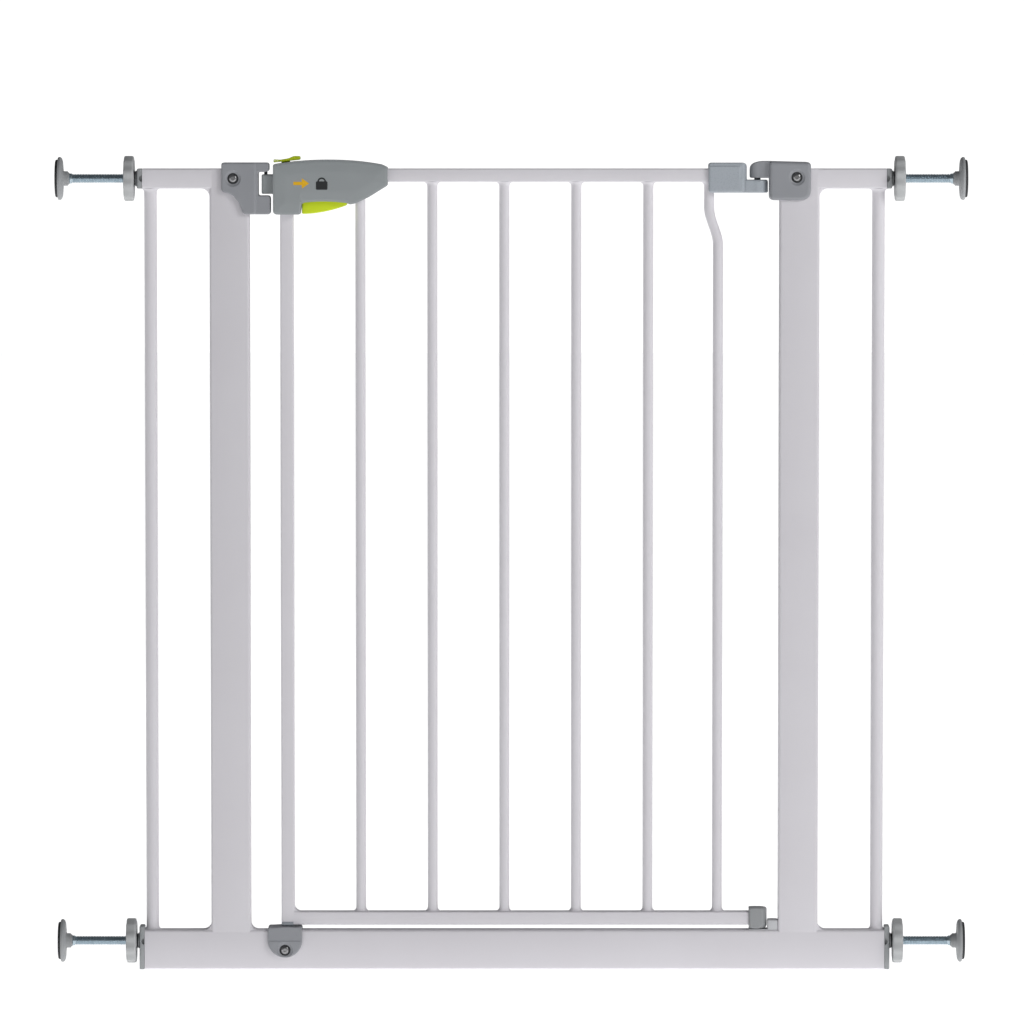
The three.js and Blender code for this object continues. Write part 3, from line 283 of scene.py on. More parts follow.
zinc = plated_metal("zinc_plated_steel_blue", "#C3D0D8", "#9FB0BA", 0.22, 0.36, 4.0, 0.5)
dark_steel = plated_metal("oiled_dark_steel", "#6B6C6F", "#4C4D50", 0.34, 0.5, 3.0, 0.4)
bright_steel = plated_metal("nickel_plated_steel", "#A5A5A6", "#88888A", 0.24, 0.36, 3.0, 0.3)
black_ink = pad_print("pad_print_black", "#1C1F21")
amber_ink = pad_print("pad_print_amber", "#E9B40A")

bpy.ops.mesh.primitive_plane_add(size=30, location=(0, 0, -0.0002))
floor = bpy.context.object
floor.name = "paper_floor"
floor.data.materials.append(studio_paper())

# ---- Modelling helpers. Sizes and places are in millimetres. ----


def node_box(node):
    """x0, x1, y0, y1, z0, z1 of a CAD node."""
    low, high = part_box(node)
    return [v / MM for pair in zip(low, high) for v in pair]


def edit(piece):
    bpy.ops.object.select_all(action="DESELECT")
    piece.select_set(True)
    bpy.context.view_layer.objects.active = piece
    bpy.ops.object.mode_set(mode="EDIT")
    bpy.ops.mesh.select_mode(type="VERT")


def settle(piece, name):
    """Leaves edit mode, moves the piece's place into its mesh and names it."""
    bpy.ops.object.mode_set(mode="OBJECT")
    bpy.ops.object.transform_apply(location=True, rotation=True, scale=True)
    piece.name = piece.data.name = name
    return piece


def block(name, x0, x1, y0, y1, z0, z1):
    bpy.ops.object.select_all(action="DESELECT")
    bpy.ops.mesh.primitive_cube_add(size=MM, location=Vector((x0 + x1, y0 + y1, z0 + z1)) * MM / 2)
    piece = bpy.context.object
    piece.scale = (x1 - x0, y1 - y0, z1 - z0)
    return settle(piece, name)


AXES = {"X": Vector((1, 0, 0)), "Y": Vector((0, 1, 0)), "Z": Vector((0, 0, 1))}


def rod(name, radius, start, length, axis="Z", sides=40):
    """A round bar that runs from its start along an axis."""
    bpy.ops.object.select_all(action="DESELECT")
    turn = {"X": (0, math.pi / 2, 0), "Y": (math.pi / 2, 0, 0), "Z": (0, 0, 0)}[axis]
    bpy.ops.mesh.primitive_cylinder_add(
        vertices=sides,
        radius=radius * MM,
        depth=length * MM,
        location=(Vector(start) + AXES[axis] * length / 2) * MM,
        rotation=turn,
    )
    return settle(bpy.context.object, name)


def rounded(corners, segments=5):
    """(x, z, size) corners as points, where each curve leaves the sides that far from its corner."""
    points = []
    for i, (x, z, size) in enumerate(corners):
        here = Vector((x, z))
        before = (Vector(corners[i - 1][:2]) - here).normalized() * size
        after = (Vector(corners[(i + 1) % len(corners)][:2]) - here).normalized() * size
        steps = segments if size else 0
        for step in range(steps + 1):
            t = step / steps if steps else 0
            points.append(here + before * (1 - t) ** 2 + after * t**2)
    return points


def outlined(name, points, y0, y1):
    """A plate whose side view is a loop of (x, z) points, pulled out from y0 to y1."""
    bpy.ops.object.select_all(action="DESELECT")
    bpy.ops.mesh.primitive_circle_add(vertices=len(points), radius=MM, fill_type="NGON")
    piece = bpy.context.object
    for vertex, (x, z) in zip(piece.data.vertices, points):
        vertex.co = Vector((x, y0, z)) * MM
    edit(piece)
    bpy.ops.mesh.select_all(action="SELECT")
    pull = {"value": (0, (y1 - y0) * MM, 0)}
    bpy.ops.mesh.extrude_region_move(TRANSFORM_OT_translate=pull)
    bpy.ops.mesh.select_all(action="SELECT")
    bpy.ops.mesh.normals_make_consistent(inside=False)
    return settle(piece, name)


def plan_plate(name, points, z0, z1):
    """A plate whose plan is a loop of (x, y) points: a side view laid flat."""
    plate = outlined(name, [(x, -y) for x, y in points], z0, z1)
    for vertex in plate.data.vertices:
        x, y, z = vertex.co
        vertex.co = (x, -z, y)
    return plate


def turned(name, profile, centre=(0, 0, 0), axis="Z", steps=48):
    """A profile of (radius, distance) points, drawn by pulling out one vertex and spun round its axis."""
    along = AXES[axis]
    outward = AXES["X"] if axis != "X" else AXES["Z"]
    points = [(Vector(centre) + outward * radius + along * place) * MM for radius, place in profile]
    bpy.ops.object.select_all(action="DESELECT")
    bpy.ops.mesh.primitive_plane_add(size=MM, location=points[0])
    piece = bpy.context.object
    edit(piece)
    bpy.ops.mesh.select_all(action="SELECT")
    bpy.ops.mesh.merge(type="CENTER")
    for here, there in zip(points, points[1:]):
        bpy.ops.mesh.extrude_region_move(TRANSFORM_OT_translate={"value": there - here})
    bpy.ops.mesh.select_all(action="SELECT")
    bpy.ops.mesh.spin(steps=steps, angle=2 * math.pi, center=Vector(centre) * MM, axis=along)
    bpy.ops.mesh.select_all(action="SELECT")
    bpy.ops.mesh.remove_doubles(threshold=0.004 * MM)
    bpy.ops.mesh.normals_make_consistent(inside=False)
    return settle(piece, name)


def apply(piece, kind, **settings):
    """Adds one modifier and applies it."""
    modifier = piece.modifiers.new(kind.lower(), kind)
    for name, value in settings.items():
        setattr(modifier, name, value)
    bpy.ops.object.select_all(action="DESELECT")
    bpy.context.view_layer.objects.active = piece
    piece.select_set(True)
    bpy.ops.object.modifier_apply(modifier=modifier.name)
    return piece


def combine(piece, tools, operation):
    """Cuts, joins or intersects a piece with tools, and clears the tools away."""
    for tool in tools:
        apply(piece, "BOOLEAN", object=tool, operation=operation, solver="EXACT")
        bpy.data.meshes.remove(tool.data)
    return piece


def cut(piece, *tools):
    return combine(piece, tools, "DIFFERENCE")


def join(piece, *tools):
    return combine(piece, tools, "UNION")


def common(piece, *tools):
    return combine(piece, tools, "INTERSECT")


def soften(piece, width, segments=3, angle=40):
    """Rounds every edge sharper than the angle."""
    return apply(
        piece,
        "BEVEL",
        width=width * MM,
        segments=segments,
        limit_method="ANGLE",
        angle_limit=math.radians(angle),
        use_clamp_overlap=False,
    )


def round_edges(piece, chosen, size, segments=4):
    """Rounds the edges that chosen(start, end) picks, both in millimetres."""
    edit(piece)
    bpy.ops.mesh.select_mode(type="EDGE")
    bpy.ops.mesh.select_all(action="DESELECT")
    bpy.ops.object.mode_set(mode="OBJECT")
    for edge in piece.data.edges:
        start, end = (piece.data.vertices[i].co / MM for i in edge.vertices)
        edge.select = chosen(start, end)
    bpy.ops.object.mode_set(mode="EDIT")
    bpy.ops.mesh.bevel(offset=size * MM, segments=segments, profile=0.5, affect="EDGES")
    bpy.ops.object.mode_set(mode="OBJECT")
    return piece


def pick_face(piece, chosen):
    """Goes to edit mode with the faces selected that chosen(centre, normal) picks."""
    edit(piece)
    bpy.ops.mesh.select_mode(type="FACE")
    bpy.ops.mesh.select_all(action="DESELECT")
    bpy.ops.object.mode_set(mode="OBJECT")
    for face in piece.data.polygons:
        face.select = chosen(face.center / MM, face.normal)
    bpy.ops.object.mode_set(mode="EDIT")


def blended(piece, voxel=0.5, rounds=3, keep=0.35):
    """Blends a moulding's joined parts with a fine remesh, so that small fillets fill its inner corners."""
    apply(piece, "REMESH", mode="VOXEL", voxel_size=voxel * MM, use_smooth_shade=True)
    apply(piece, "SMOOTH", factor=0.5, iterations=rounds)
    return apply(piece, "DECIMATE", ratio=keep)


def reshape(piece, move):
    """Moves every vertex to where move(x, y, z) says."""
    for vertex in piece.data.vertices:
        vertex.co = Vector(move(*(vertex.co / MM))) * MM
    return piece


def mirrored(piece, side):
    """Turns a piece made on the right into one for the given side."""
    if side < 0:
        edit(piece)
        bpy.ops.mesh.select_all(action="SELECT")
        bpy.ops.transform.mirror(constraint_axis=(True, False, False), center_override=(0, 0, 0))
        bpy.ops.mesh.normals_make_consistent(inside=False)
        bpy.ops.object.mode_set(mode="OBJECT")
    return piece


def copied(model, name, right=0, up=0, side=1):
    """A copy of a model with its own mesh, moved right and up, and then mirrored for the left side."""
    bpy.ops.object.select_all(action="DESELECT")
    model.select_set(True)
    bpy.context.view_layer.objects.active = model
    bpy.ops.object.duplicate()
    piece = bpy.context.object
    piece.location = Vector((right, 0, up)) * MM
    return mirrored(settle(piece, name), side)


def finished(piece, body, finish, slot, *nodes, angle=35):
    """Gives a piece its finish, smooths it and fixes it to its body in place of its CAD nodes."""
    if not piece.data.materials:
        piece.data.materials.append(finish)
    bpy.ops.object.select_all(action="DESELECT")
    piece.select_set(True)
    bpy.context.view_layer.objects.active = piece
    bpy.ops.object.shade_smooth_by_angle(angle=math.radians(angle))
    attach(piece, body)
    if nodes:
        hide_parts(*nodes)
    return piece


# ---- Welded tubes ----


FRAME_WALL, FRAME_CORNER = 1.5, 2.4
LEAF_WALL = 1.2
WELD_LAP = 2.2  # a welded tube runs on this far under the rounded corner of the one that it meets


def tube(name, box, wall, corner, axis, top_open=True):
    """A rectangular steel tube with rolled corners, along X or Z."""
    x0, x1, y0, y1, z0, z1 = box
    along = AXES[axis]

    def is_long(start, end):
        return abs((end - start).normalized().dot(along)) > 0.99

    skin = round_edges(block(name, *box), is_long, corner)
    if axis == "X":
        inside = (x0 - 1, x1 + 1, y0 + wall, y1 - wall, z0 + wall, z1 - wall)
    else:
        top = z1 + 1 if top_open else z1 - wall
        inside = (x0 + wall, x1 - wall, y0 + wall, y1 - wall, z0 - 1, top)
    return cut(skin, round_edges(block("hollow", *inside), is_long, max(corner - wall, 0.4)))


rail = node_box("base_rail")
stile = node_box("leaf_stile")
stile_x = (stile[0] + stile[1]) / 2
posts = {"latch_post": node_box("latch_post"), "hinge_post": node_box("hinge_post")}

base_rail = tube("base_rail_tube", rail, FRAME_WALL, FRAME_CORNER, "X")
cut(base_rail, rod("bolt_hole", 4, (stile_x, 0, rail[5] - 5), 6))
finished(base_rail, "frame", white_steel, "powder_coated_steel", "base_rail")
for post, box in posts.items():
    span = [*box[:4], rail[5] - WELD_LAP, box[5]]
    skin = tube(post + "_tube", span, FRAME_WALL, FRAME_CORNER, "Z", top_open=False)
    round_edges(skin, lambda a, b: min(a.z, b.z) > box[5] - 0.01 and (a - b).length > 0.5, 0.8, 3)
    finished(skin, "frame", white_steel, "powder_coated_steel", post)
for side in ("left", "right"):
    box = node_box(side + "_top_stub_rail")
    box[1 if side == "left" else 0] += WELD_LAP if side == "left" else -WELD_LAP
    stub = tube(side + "_stub_tube", box, FRAME_WALL, 1.6, "X")
    finished(stub, "frame", white_steel, "powder_coated_steel", side + "_top_stub_rail")


def welded_bar(node, radius, weld, rail_half_depth, bend=None):
    """A round bar with a fillet of weld at each end, squeezed to the depth of the rail that it meets."""
    x0, x1, y0, y1, z0, z1 = node_box(node)
    fillet = [(radius + weld * (1 - s) ** 2, weld * s**1.6) for s in (0, 0.15, 0.35, 0.6, 0.8, 1)]
    places = [z0 + weld + 4]
    if bend:
        places += [bend[0] + (bend[1] - bend[0]) * i / 24 for i in range(25)]
    profile = [(0, z0)] + [(r, z0 + d) for r, d in fillet] + [(radius, z) for z in places]
    profile += [(r, z1 - d) for r, d in reversed(fillet)] + [(0, z1)]
    middle = x1 - radius if bend else (x0 + x1) / 2
    bar = turned(node + "_welded", profile, (middle, 0, 0), steps=40)

    def move(x, y, z):
        spread = math.hypot(x - middle, y)
        if spread > radius:
            y *= (radius + (spread - radius) * (rail_half_depth - radius) / weld * 0.9) / spread
        if bend:
            t = min(max((z - bend[0]) / (bend[1] - bend[0]), 0), 1)
            x -= (x1 - x0 - 2 * radius) * t * t * (3 - 2 * t)
        return x, y, z

    return reshape(bar, move)


def bar_row(nodes, body, *sizes):
    """Bars of one shape: the first is modelled, and the others are copies of it."""
    first = welded_bar(nodes[0], *sizes)
    start = node_box(nodes[0])[0]
    rest = [copied(first, node + "_welded", node_box(node)[0] - start) for node in nodes[1:]]
    for node, bar in zip(nodes, [first, *rest]):
        finished(bar, body, white_steel, "powder_coated_steel", node, angle=50)


bar_row(["left_outer_tube", "right_outer_tube"], "frame", 6, 4, rail[3])
bar_row([f"leaf_bar_{i}" for i in range(1, 6)], "leaf", 4.8, 4.2, stile[3])
top_rail = node_box("leaf_top_rail")
low_rail = node_box("leaf_bottom_rail")
bend = (stile[5] - 73, stile[5] - 37)
bar_row(["leaf_bent_bar"], "leaf", 4.8, 4.2, stile[3], bend)

leaf_stile = tube("leaf_stile_tube", stile, LEAF_WALL, 1.6, "Z")
arm_z = stile[5] - 27
rocker_z = stile[5] - 17.2
cut(
    leaf_stile,
    block("trigger_slot", stile_x + 1, stile[1] + 1, -2, 2, arm_z - 4, arm_z + 9),
    block("rocker_slot", stile[0] - 1, stile_x - 1, -2, 2, rocker_z - 1.5, rocker_z + 8.4),
)
finished(leaf_stile, "leaf", white_steel, "powder_coated_steel", "leaf_stile")
overlap = stile[1] - 1.4
for node, box in (("leaf_top_rail", top_rail), ("leaf_bottom_rail", low_rail)):
    bar = tube(node + "_tube", [overlap, *box[1:]], LEAF_WALL, 1.3, "X")
    finished(bar, "leaf", white_steel, "powder_coated_steel", node)


def corner_weld(name, body, x, z, right, up, size, half_depth):
    """A hollow fillet of weld in the corner at (x, z), towards right (+1 or -1) and up (+1 or -1)."""
    points = [(x - right * 0.6, z - up * 0.6), (x + right * size, z - up * 0.6)]
    for step in range(11):
        turn = math.pi / 2 * step / 10
        points.append((x + right * size * (1 - math.sin(turn)), z + up * size * (1 - math.cos(turn))))
    points.append((x - right * 0.6, z + up * size))
    weld = outlined(name, points, -half_depth + 1.2, half_depth - 1.2)
    # Both faces are drawn in towards the corner, as a weld bead's ends are.
    for out in (-1, 1):

        def is_face(centre, normal):
            return normal.y * out > 0.9 and centre.y * out > half_depth - 1.3

        for share in (0.88, 0.66):
            pick_face(weld, is_face)
            pull = {"value": (0, out * 0.6 * MM, 0)}
            bpy.ops.mesh.extrude_region_move(TRANSFORM_OT_translate=pull)
            centre = Vector((x, 0, z)) * MM
            bpy.ops.transform.resize(value=(share, 1, share), center_override=centre)
            bpy.ops.object.mode_set(mode="OBJECT")
    return finished(weld, body, white_steel, "powder_coated_steel", angle=60)


post_in, post_out = posts["hinge_post"][0], posts["hinge_post"][1]
stub_low = node_box("left_top_stub_rail")[4]
frame_depth = rail[3] - 1.2
corner_weld("weld_left_top", "frame", -post_out, stub_low, -1, -1, 8, frame_depth)
corner_weld("weld_right_top", "frame", post_out, stub_low, 1, -1, 8, frame_depth)
corner_weld("weld_left_base", "frame", -post_out, rail[5], -1, 1, 8, frame_depth)
corner_weld("weld_right_base", "frame", post_out, rail[5], 1, 1, 8, frame_depth)
corner_weld("weld_passage_left", "frame", -post_in, rail[5], 1, 1, 7, frame_depth)
corner_weld("weld_leaf_corner", "leaf", stile[1], low_rail[5], 1, 1, 6.5, stile[3] - 0.9)

# ---- Wall fixings ----
SIDES = (("left", -1), ("right", 1))
ROWS = ("top", "base")


def end_plug(row):
    """The right-hand moulded plug of a row (a sleeve in the rail and a flange on its end), with the neck that
    the hand nut turns against, black as painted shade for the gap between flange and nut and as a dark washer
    there, and the lighter washer in its middle."""
    x0, x1, y0, y1, z0, z1 = node_box(f"end_plug_{row}_right")
    face = rail[1]
    axis_z = sum(node_box(f"spindle_{row}_right")[4:]) / 2
    top = min(z1, rail[5] if row == "base" else z1)
    plug = soften(block("plug_model", face, x1 - 2.5, y0, y1, z0, z1), 1.1)
    join(plug, block("sleeve", x0, face + 1, y0 + 1.8, y1 - 1.8, z0 + 1.8, top - 1.8))
    cut(plug, rod("bore", 4.9, (x0 - 1, 0, axis_z), x1 - x0 + 2, "X"))
    # The snap's notch beside the rail.
    notch = rod("snap", 3.2, (face - 0.1, y0 - 1, axis_z), 4, "Y", 24)
    cut(plug, cut(notch, block("beyond", face - 9, face + 0.4, -30, 30, axis_z - 9, axis_z + 9)))
    neck = turned(
        "neck_model",
        [(4.9, x1 - 2.9), (6.9, x1 - 2.9), (6.9, x1 - 0.3), (6.6, x1), (4.9, x1), (4.9, x1 - 2.9)],
        (0, 0, axis_z),
        "X",
    )
    washer = turned(
        "washer_model",
        [(6.2, x1 - 1.9), (7.6, x1 - 1.9), (7.6, x1 - 1.2), (6.2, x1 - 1.2), (6.2, x1 - 1.9)],
        (0, 0, axis_z),
        "X",
    )
    return plug, neck, washer


def hand_nut():
    """Moulded nut with ten soft grips round its rim and a raised hub on both faces, on the X axis."""
    x0, x1, y0, y1, z0, z1 = node_box("hand_nut_top_right")
    profile = [(4.8, x0), (8.0, x0), (8.6, x0 + 0.4), (9.0, x0 + 0.5), (19.4, x0 + 0.2)]
    profile += [(20.6, x0 + 0.5), (21.3, x0 + 1.2), (21.5, x0 + 2.2), (21.5, x1 - 2.2)]
    profile += [(21.3, x1 - 1.3), (20.6, x1 - 0.7), (19.4, x1 - 0.4), (11.0, x1 - 0.9), (8.6, x1)]
    profile += [(5.4, x1), (4.8, x1 - 0.6), (4.8, x0)]

    def grip(x, y, z):
        out = math.hypot(y, z)
        if out < 14:
            return x, y, z
        dip = 0.7 * (1 - math.cos(10 * math.atan2(y, z))) * min((out - 14) / 6, 1)
        return x, y * (out - dip) / out, z * (out - dip) / out

    return reshape(turned("nut_model", profile, (0, 0, 0), "X", steps=120), grip)


def spindle():
    """Zinc-plated spindle on the X axis: a 9 mm thread of 1.5 mm pitch, a collar and a spigot."""
    tail, head = node_box("spindle_top_right")[:2]
    pitch, crest, root = 1.5, 4.48, 3.72
    collar = head - 8
    core = turned(
        "spindle_model",
        [(0, tail), (3.0, tail), (root, tail + 0.8), (root, collar - 0.5), (4.7, collar - 0.4)]
        + [(4.85, collar), (4.85, collar + 1.7), (4.6, collar + 2), (3, collar + 2)]
        + [(3, head - 0.4), (2.6, head), (0, head)],
        axis="X",
        steps=32,
    )
    bpy.ops.object.select_all(action="DESELECT")
    bpy.ops.mesh.primitive_plane_add(size=MM)
    ridge = bpy.context.object
    ridge.name = ridge.data.name = "thread"
    # The ridge's section, sunk a little into the core.
    section = [(root - 0.12, 0.1), (crest, 0.58), (crest, 0.86), (root - 0.12, 1.34)]
    corners = [ridge.data.vertices[i] for i in (0, 1, 3, 2)]
    for vertex, (radius, place) in zip(corners, section):
        vertex.co = Vector((tail + 0.4 + place, 0, radius)) * MM
    apply(
        ridge,
        "SCREW",
        axis="X",
        angle=2 * math.pi,
        screw_offset=pitch * MM,
        iterations=int((collar - tail - 1.6) / pitch),
        steps=20,
        render_steps=20,
        use_merge_vertices=True,
        use_normal_calculate=True,
    )
    edit(ridge)
    bpy.ops.mesh.select_all(action="SELECT")
    bpy.ops.mesh.remove_doubles(threshold=0.002 * MM)
    bpy.ops.mesh.select_non_manifold()
    bpy.ops.mesh.edge_face_add()
    bpy.ops.mesh.select_all(action="SELECT")
    bpy.ops.mesh.normals_make_consistent(inside=False)
    bpy.ops.object.mode_set(mode="OBJECT")
    bpy.ops.object.select_all(action="DESELECT")
    ridge.select_set(True)
    core.select_set(True)
    bpy.context.view_layer.objects.active = core
    bpy.ops.object.join()
    return core


def pad_cup():
    """Moulded cup on the X axis, with a hub on the spindle's end."""
    back, front = node_box("pad_cup_top_right")[:2]
    return turned(
        "cup_model",
        [(0, back + 6.2), (3.15, back + 6.2), (3.15, back), (5.2, back), (5.9, back + 0.6)]
        + [(6.0, back + 1.4), (6.9, back + 1.6), (7.0, back + 5.0), (7.5, back + 5.7)]
        + [(12.0, back + 6.0), (17.5, back + 6.5), (19.4, back + 7.2), (20.5, back + 8.6)]
        + [(20.5, front - 1.0)]
        + [(20.3, front - 0.4), (19.8, front), (18.5, front), (18.1, front - 0.4)]
        + [(18.1, front - 1), (0, front - 1)],
        (0, 0, 0),
        "X",
        steps=64,
    )


def pad_rubber():
    """The ribbed rubber disc on the X axis that presses on the wall."""
    back, front = node_box("pad_rubber_top_right")[:2]
    ribs = []
    for radius in (15.5, 12.5, 9.5, 6.5):
        ribs += [(radius + 0.7, front), (radius + 0.4, front - 0.8), (radius - 0.4, front - 0.8)]
        ribs += [(radius - 0.7, front)]
    return turned(
        "rubber_model",
        [(0, back + 0.05), (17.4, back + 0.05), (17.95, back + 0.6), (17.95, front - 1.1)]
        + [(17.6, front - 0.3), (17.0, front), *ribs, (0, front)],
        (0, 0, 0),
        "X",
        steps=64,
    )


def fitted(model, kind, ending, row, name, side):
    """A copy of a model in its own wall fixing's place, as its CAD node gives it."""
    box = node_box(f"{kind}_{row}_{name}")
    inner = box[0] if side > 0 else -box[1]
    right = inner - node_box(f"{kind}_top_right")[0]
    return copied(model, f"{kind}_{row}_{name}_{ending}", right, (box[4] + box[5]) / 2, side)


nut_model, spindle_model, cup_model, rubber_model = hand_nut(), spindle(), pad_cup(), pad_rubber()
models = [nut_model, spindle_model, cup_model, rubber_model]
for row in ROWS:
    plug_models = end_plug(row)
    models += plug_models
    for name, side in SIDES:
        corner = f"{row}_{name}"
        plug, neck, washer = (
            copied(model, f"end_plug_{corner}_{ending}", side=side)
            for model, ending in zip(plug_models, ("moulded", "neck", "washer"))
        )
        finished(plug, "frame", plug_grey, "grey_plastic", f"end_plug_{corner}")
        # The neck's black rubber is painted shade for the gap between the plug's flange and the nut, and
        # stands for a dark washer there.
        finished(neck, "frame", rubber, "grey_plastic")
        finished(washer, "frame", plug_grey, "grey_plastic")
        nut = fitted(nut_model, "hand_nut", "moulded", row, name, side)
        finished(nut, f"hand_nut_{corner}", nut_grey, "light_grey_plastic", f"hand_nut_{corner}")
        screw, body = fitted(spindle_model, "spindle", "threaded", row, name, side), f"spindle_{corner}"
        finished(screw, body, zinc, "zinc_plated_steel", body, angle=40)
        cup = fitted(cup_model, "pad_cup", "moulded", row, name, side)
        finished(cup, body, cup_grey, "grey_plastic", f"pad_cup_{corner}")
        disc = fitted(rubber_model, "pad_rubber", "ribbed", row, name, side)
        finished(disc, body, rubber, "black_rubber", f"pad_rubber_{corner}")
for model in models:
    bpy.data.meshes.remove(model.data)


# ---- Screws and pins ----
def socket_screw(name, body, x, z, face, head, shank, tip, node, inward=1):
    """A domed screw with a hexagon socket; inward is +1 for a screw driven in from the front."""
    reach = abs(tip - face)
    profile = [(0, 0.1), (head * 0.6, 0.2), (head * 0.86, 0.5), (head * 0.98, 1.0), (head, 1.4)]
    profile += [(head, 3), (shank, 3), (shank, reach - 0.8), (shank - 0.7, reach), (0, reach)]
    screw = turned(name, profile, steps=32, axis="Y")
    socket = rod("socket", head * 0.5, (0, -1, 0), 3.0, "Y", sides=6)
    cut(screw, socket)
    reshape(screw, lambda a, b, c: (x + a, face + inward * b, z + c))
    if inward < 0:
        edit(screw)
        bpy.ops.mesh.select_all(action="SELECT")
        bpy.ops.mesh.normals_make_consistent(inside=False)
        bpy.ops.object.mode_set(mode="OBJECT")
    return finished(screw, body, bright_steel, "bright_steel", node)


for node in ("keeper_screw", "strike_screw", "post_hinge_screw"):
    x0, x1, y0, y1, z0, z1 = node_box(node)
    middle_x, middle_z = (x0 + x1) / 2, (z0 + z1) / 2
    socket_screw(node + "_domed", "frame", middle_x, middle_z, y0, 3.7, 1.95, y1, node)
for i in (1, 2):
    node = f"housing_screw_{i}"
    x0, x1, y0, y1, z0, z1 = node_box(node)
    middle_x, middle_z = (x0 + x1) / 2, (z0 + z1) / 2
    socket_screw(node + "_domed", "leaf", middle_x, middle_z, y1, 2.5, 1.35, y0, node, inward=-1)

x0, x1, y0, y1, z0, z1 = node_box("top_hinge_pin")
pin = turned(
    "top_hinge_pin_turned",
    [(0, z0), (2.4, z0), (3, z0 + 0.6), (3, z1 - 0.6), (2.4, z1), (0, z1)],
    ((x0 + x1) / 2, 0, 0),
)
finished(pin, "frame", dark_steel, "dark_steel", "top_hinge_pin")
hinge_x = (x0 + x1) / 2

# ---- Brackets on the frame ----
POST_POCKET = 9.8  # half of the frame tube's depth, with a 0.3 mm gap
LEAF_POCKET = 6.65  # the same for the leaf's square tube
BAR_SLOT = 5.1  # the same for the leaf's round bars
PIN_BORE = 3.3  # radius round the 3 mm hinge pins and the bolt rod
front = node_box("keeper_bracket")[2]
back = -front


def screw_place(node):
    x0, x1, y0, y1, z0, z1 = node_box(node)
    return (x0 + x1) / 2, (z0 + z1) / 2


def screw_seat(node, face, deep=3.2):
    """The dished recess for a bracket screw and the hole behind it; a black rubber washer round the screw at
    the recess's bottom is painted shade for the recess, and a guess at a dark washer there.
    """
    x, z = screw_place(node)
    seat = turned(
        "seat",
        [(0, -1), (8.1, -1), (7.5, 0.1), (7.1, 0.9), (6.7, 1.2), (5.3, 1.4), (5.1, deep)]
        + [(2.3, deep), (2.3, 8), (0, 8)],
        axis="Y",
        steps=40,
    )
    shade_ring = turned(
        node + "_ring",
        [(3.9, deep), (3.9, 1.9), (5.25, 1.9), (5.25, deep), (3.9, deep)],
        axis="Y",
        steps=32,
    )
    reshape(shade_ring, lambda a, b, c: (x + a, face + b, z + c))
    # Black rubber here is painted shade in the screw's recess; it also stands for a dark washer.
    finished(shade_ring, "frame", rubber, "black_rubber")
    return reshape(seat, lambda a, b, c: (x + a, face + b, z + c))


x0, x1, y0, y1, z0, z1 = node_box("keeper_bracket")
post_edge = posts["latch_post"][1]
notch_left, notch_low, notch_high = post_edge + 8.5, z1 - 31.3, z1 - 8.9
body_plate = outlined(
    "keeper_bracket_moulded",
    rounded(
        [
            (x0, z1, 2.2),
            (notch_left - 2.5, z1, 0),
            (notch_left - 2.5, z0, 0),
            (x0 + 20.5, z0, 3.5),
            (x0 + 17.5, z0 + 11, 5.5),
            (x0 + 9, z0 + 20, 5),
            (x0, z0 + 21, 3.5),
        ]
    ),
    front,
    back,
)
soften(body_plate, 1.4, 4)
jaws = outlined(
    "jaws",
    rounded(
        [
            (notch_left - 6, z1, 0),
            (x1 - 1.3, z1, 2.8),
            (x1 - 1.3, notch_high + 1.4, 1.6),
            (x1 - 4.4, notch_high, 1.6),
            (notch_left, notch_high, 1.6),
            (notch_left, notch_low, 1.6),
            (x1, notch_low, 3.2),
            (x1, z0, 2.4),
            (notch_left - 6, z0, 0),
        ]
    ),
    front + 1.3,
    back - 1.3,
)
soften(jaws, 1.0, 3)
keeper = join(body_plate, jaws)
bolt_x = stile[0] - 13.65
cut(
    keeper,
    block("post_pocket", x0 - 20, post_edge + 0.3, -POST_POCKET, POST_POCKET, z0 - 10, stile[5] + 0.3),
    rod("bolt_hole", 2.1, (bolt_x, 0, notch_high - 2), 7.5),
    screw_seat("keeper_screw", front),
)
finished(blended(keeper), "frame", keeper_grey, "grey_plastic", "keeper_bracket", angle=60)

# The strike: round-bottomed front and back cheeks, joined over the rail.
x0, x1, y0, y1, z0, z1 = node_box("bottom_strike")
middle, radius = (x0 + x1) / 2, (x1 - x0) / 2
step_z = z0 + radius
loop = [(x0, z1 - 1.2), (x0 + 1.2, z1 - 0.5), (x0 + 7, z1 - 0.3), (middle - 4, z1), (middle + 4, z1)]
loop += [(x1 - 7, z1 - 0.3), (x1 - 1.6, z1 - 0.1), (x1, z1 - 1.4)]
loop += [
    (middle + radius * math.cos(turn), step_z - radius * math.sin(turn))
    for turn in [math.pi * i / 24 for i in range(25)]
]
strike = outlined("bottom_strike_moulded", loop, y0, y1)
soften(strike, 1.4, 4, 50)
ledge = block("ledge", x0 + 1, x1 - 1, y0 - 2, y0 + 0.45, step_z - 0.8, z1 + 2)
soften(ledge, 0.5, 2)
cut(
    strike,
    ledge,
    block("rail_pocket", x0 - 5, x1 + 5, -POST_POCKET, POST_POCKET, z0 - 5, rail[5] + 0.3),
    rod("bolt_pocket", 3.6, (stile_x, 0, rail[5] - 1), 6),
    block("slit", middle + 10.6, middle + 11.7, y0 - 1, y0 + 2.2, z1 - 8, z1 + 1),
    screw_seat("strike_screw", y0),
)
finished(blended(strike), "frame", keeper_grey, "grey_plastic", "bottom_strike", angle=60)

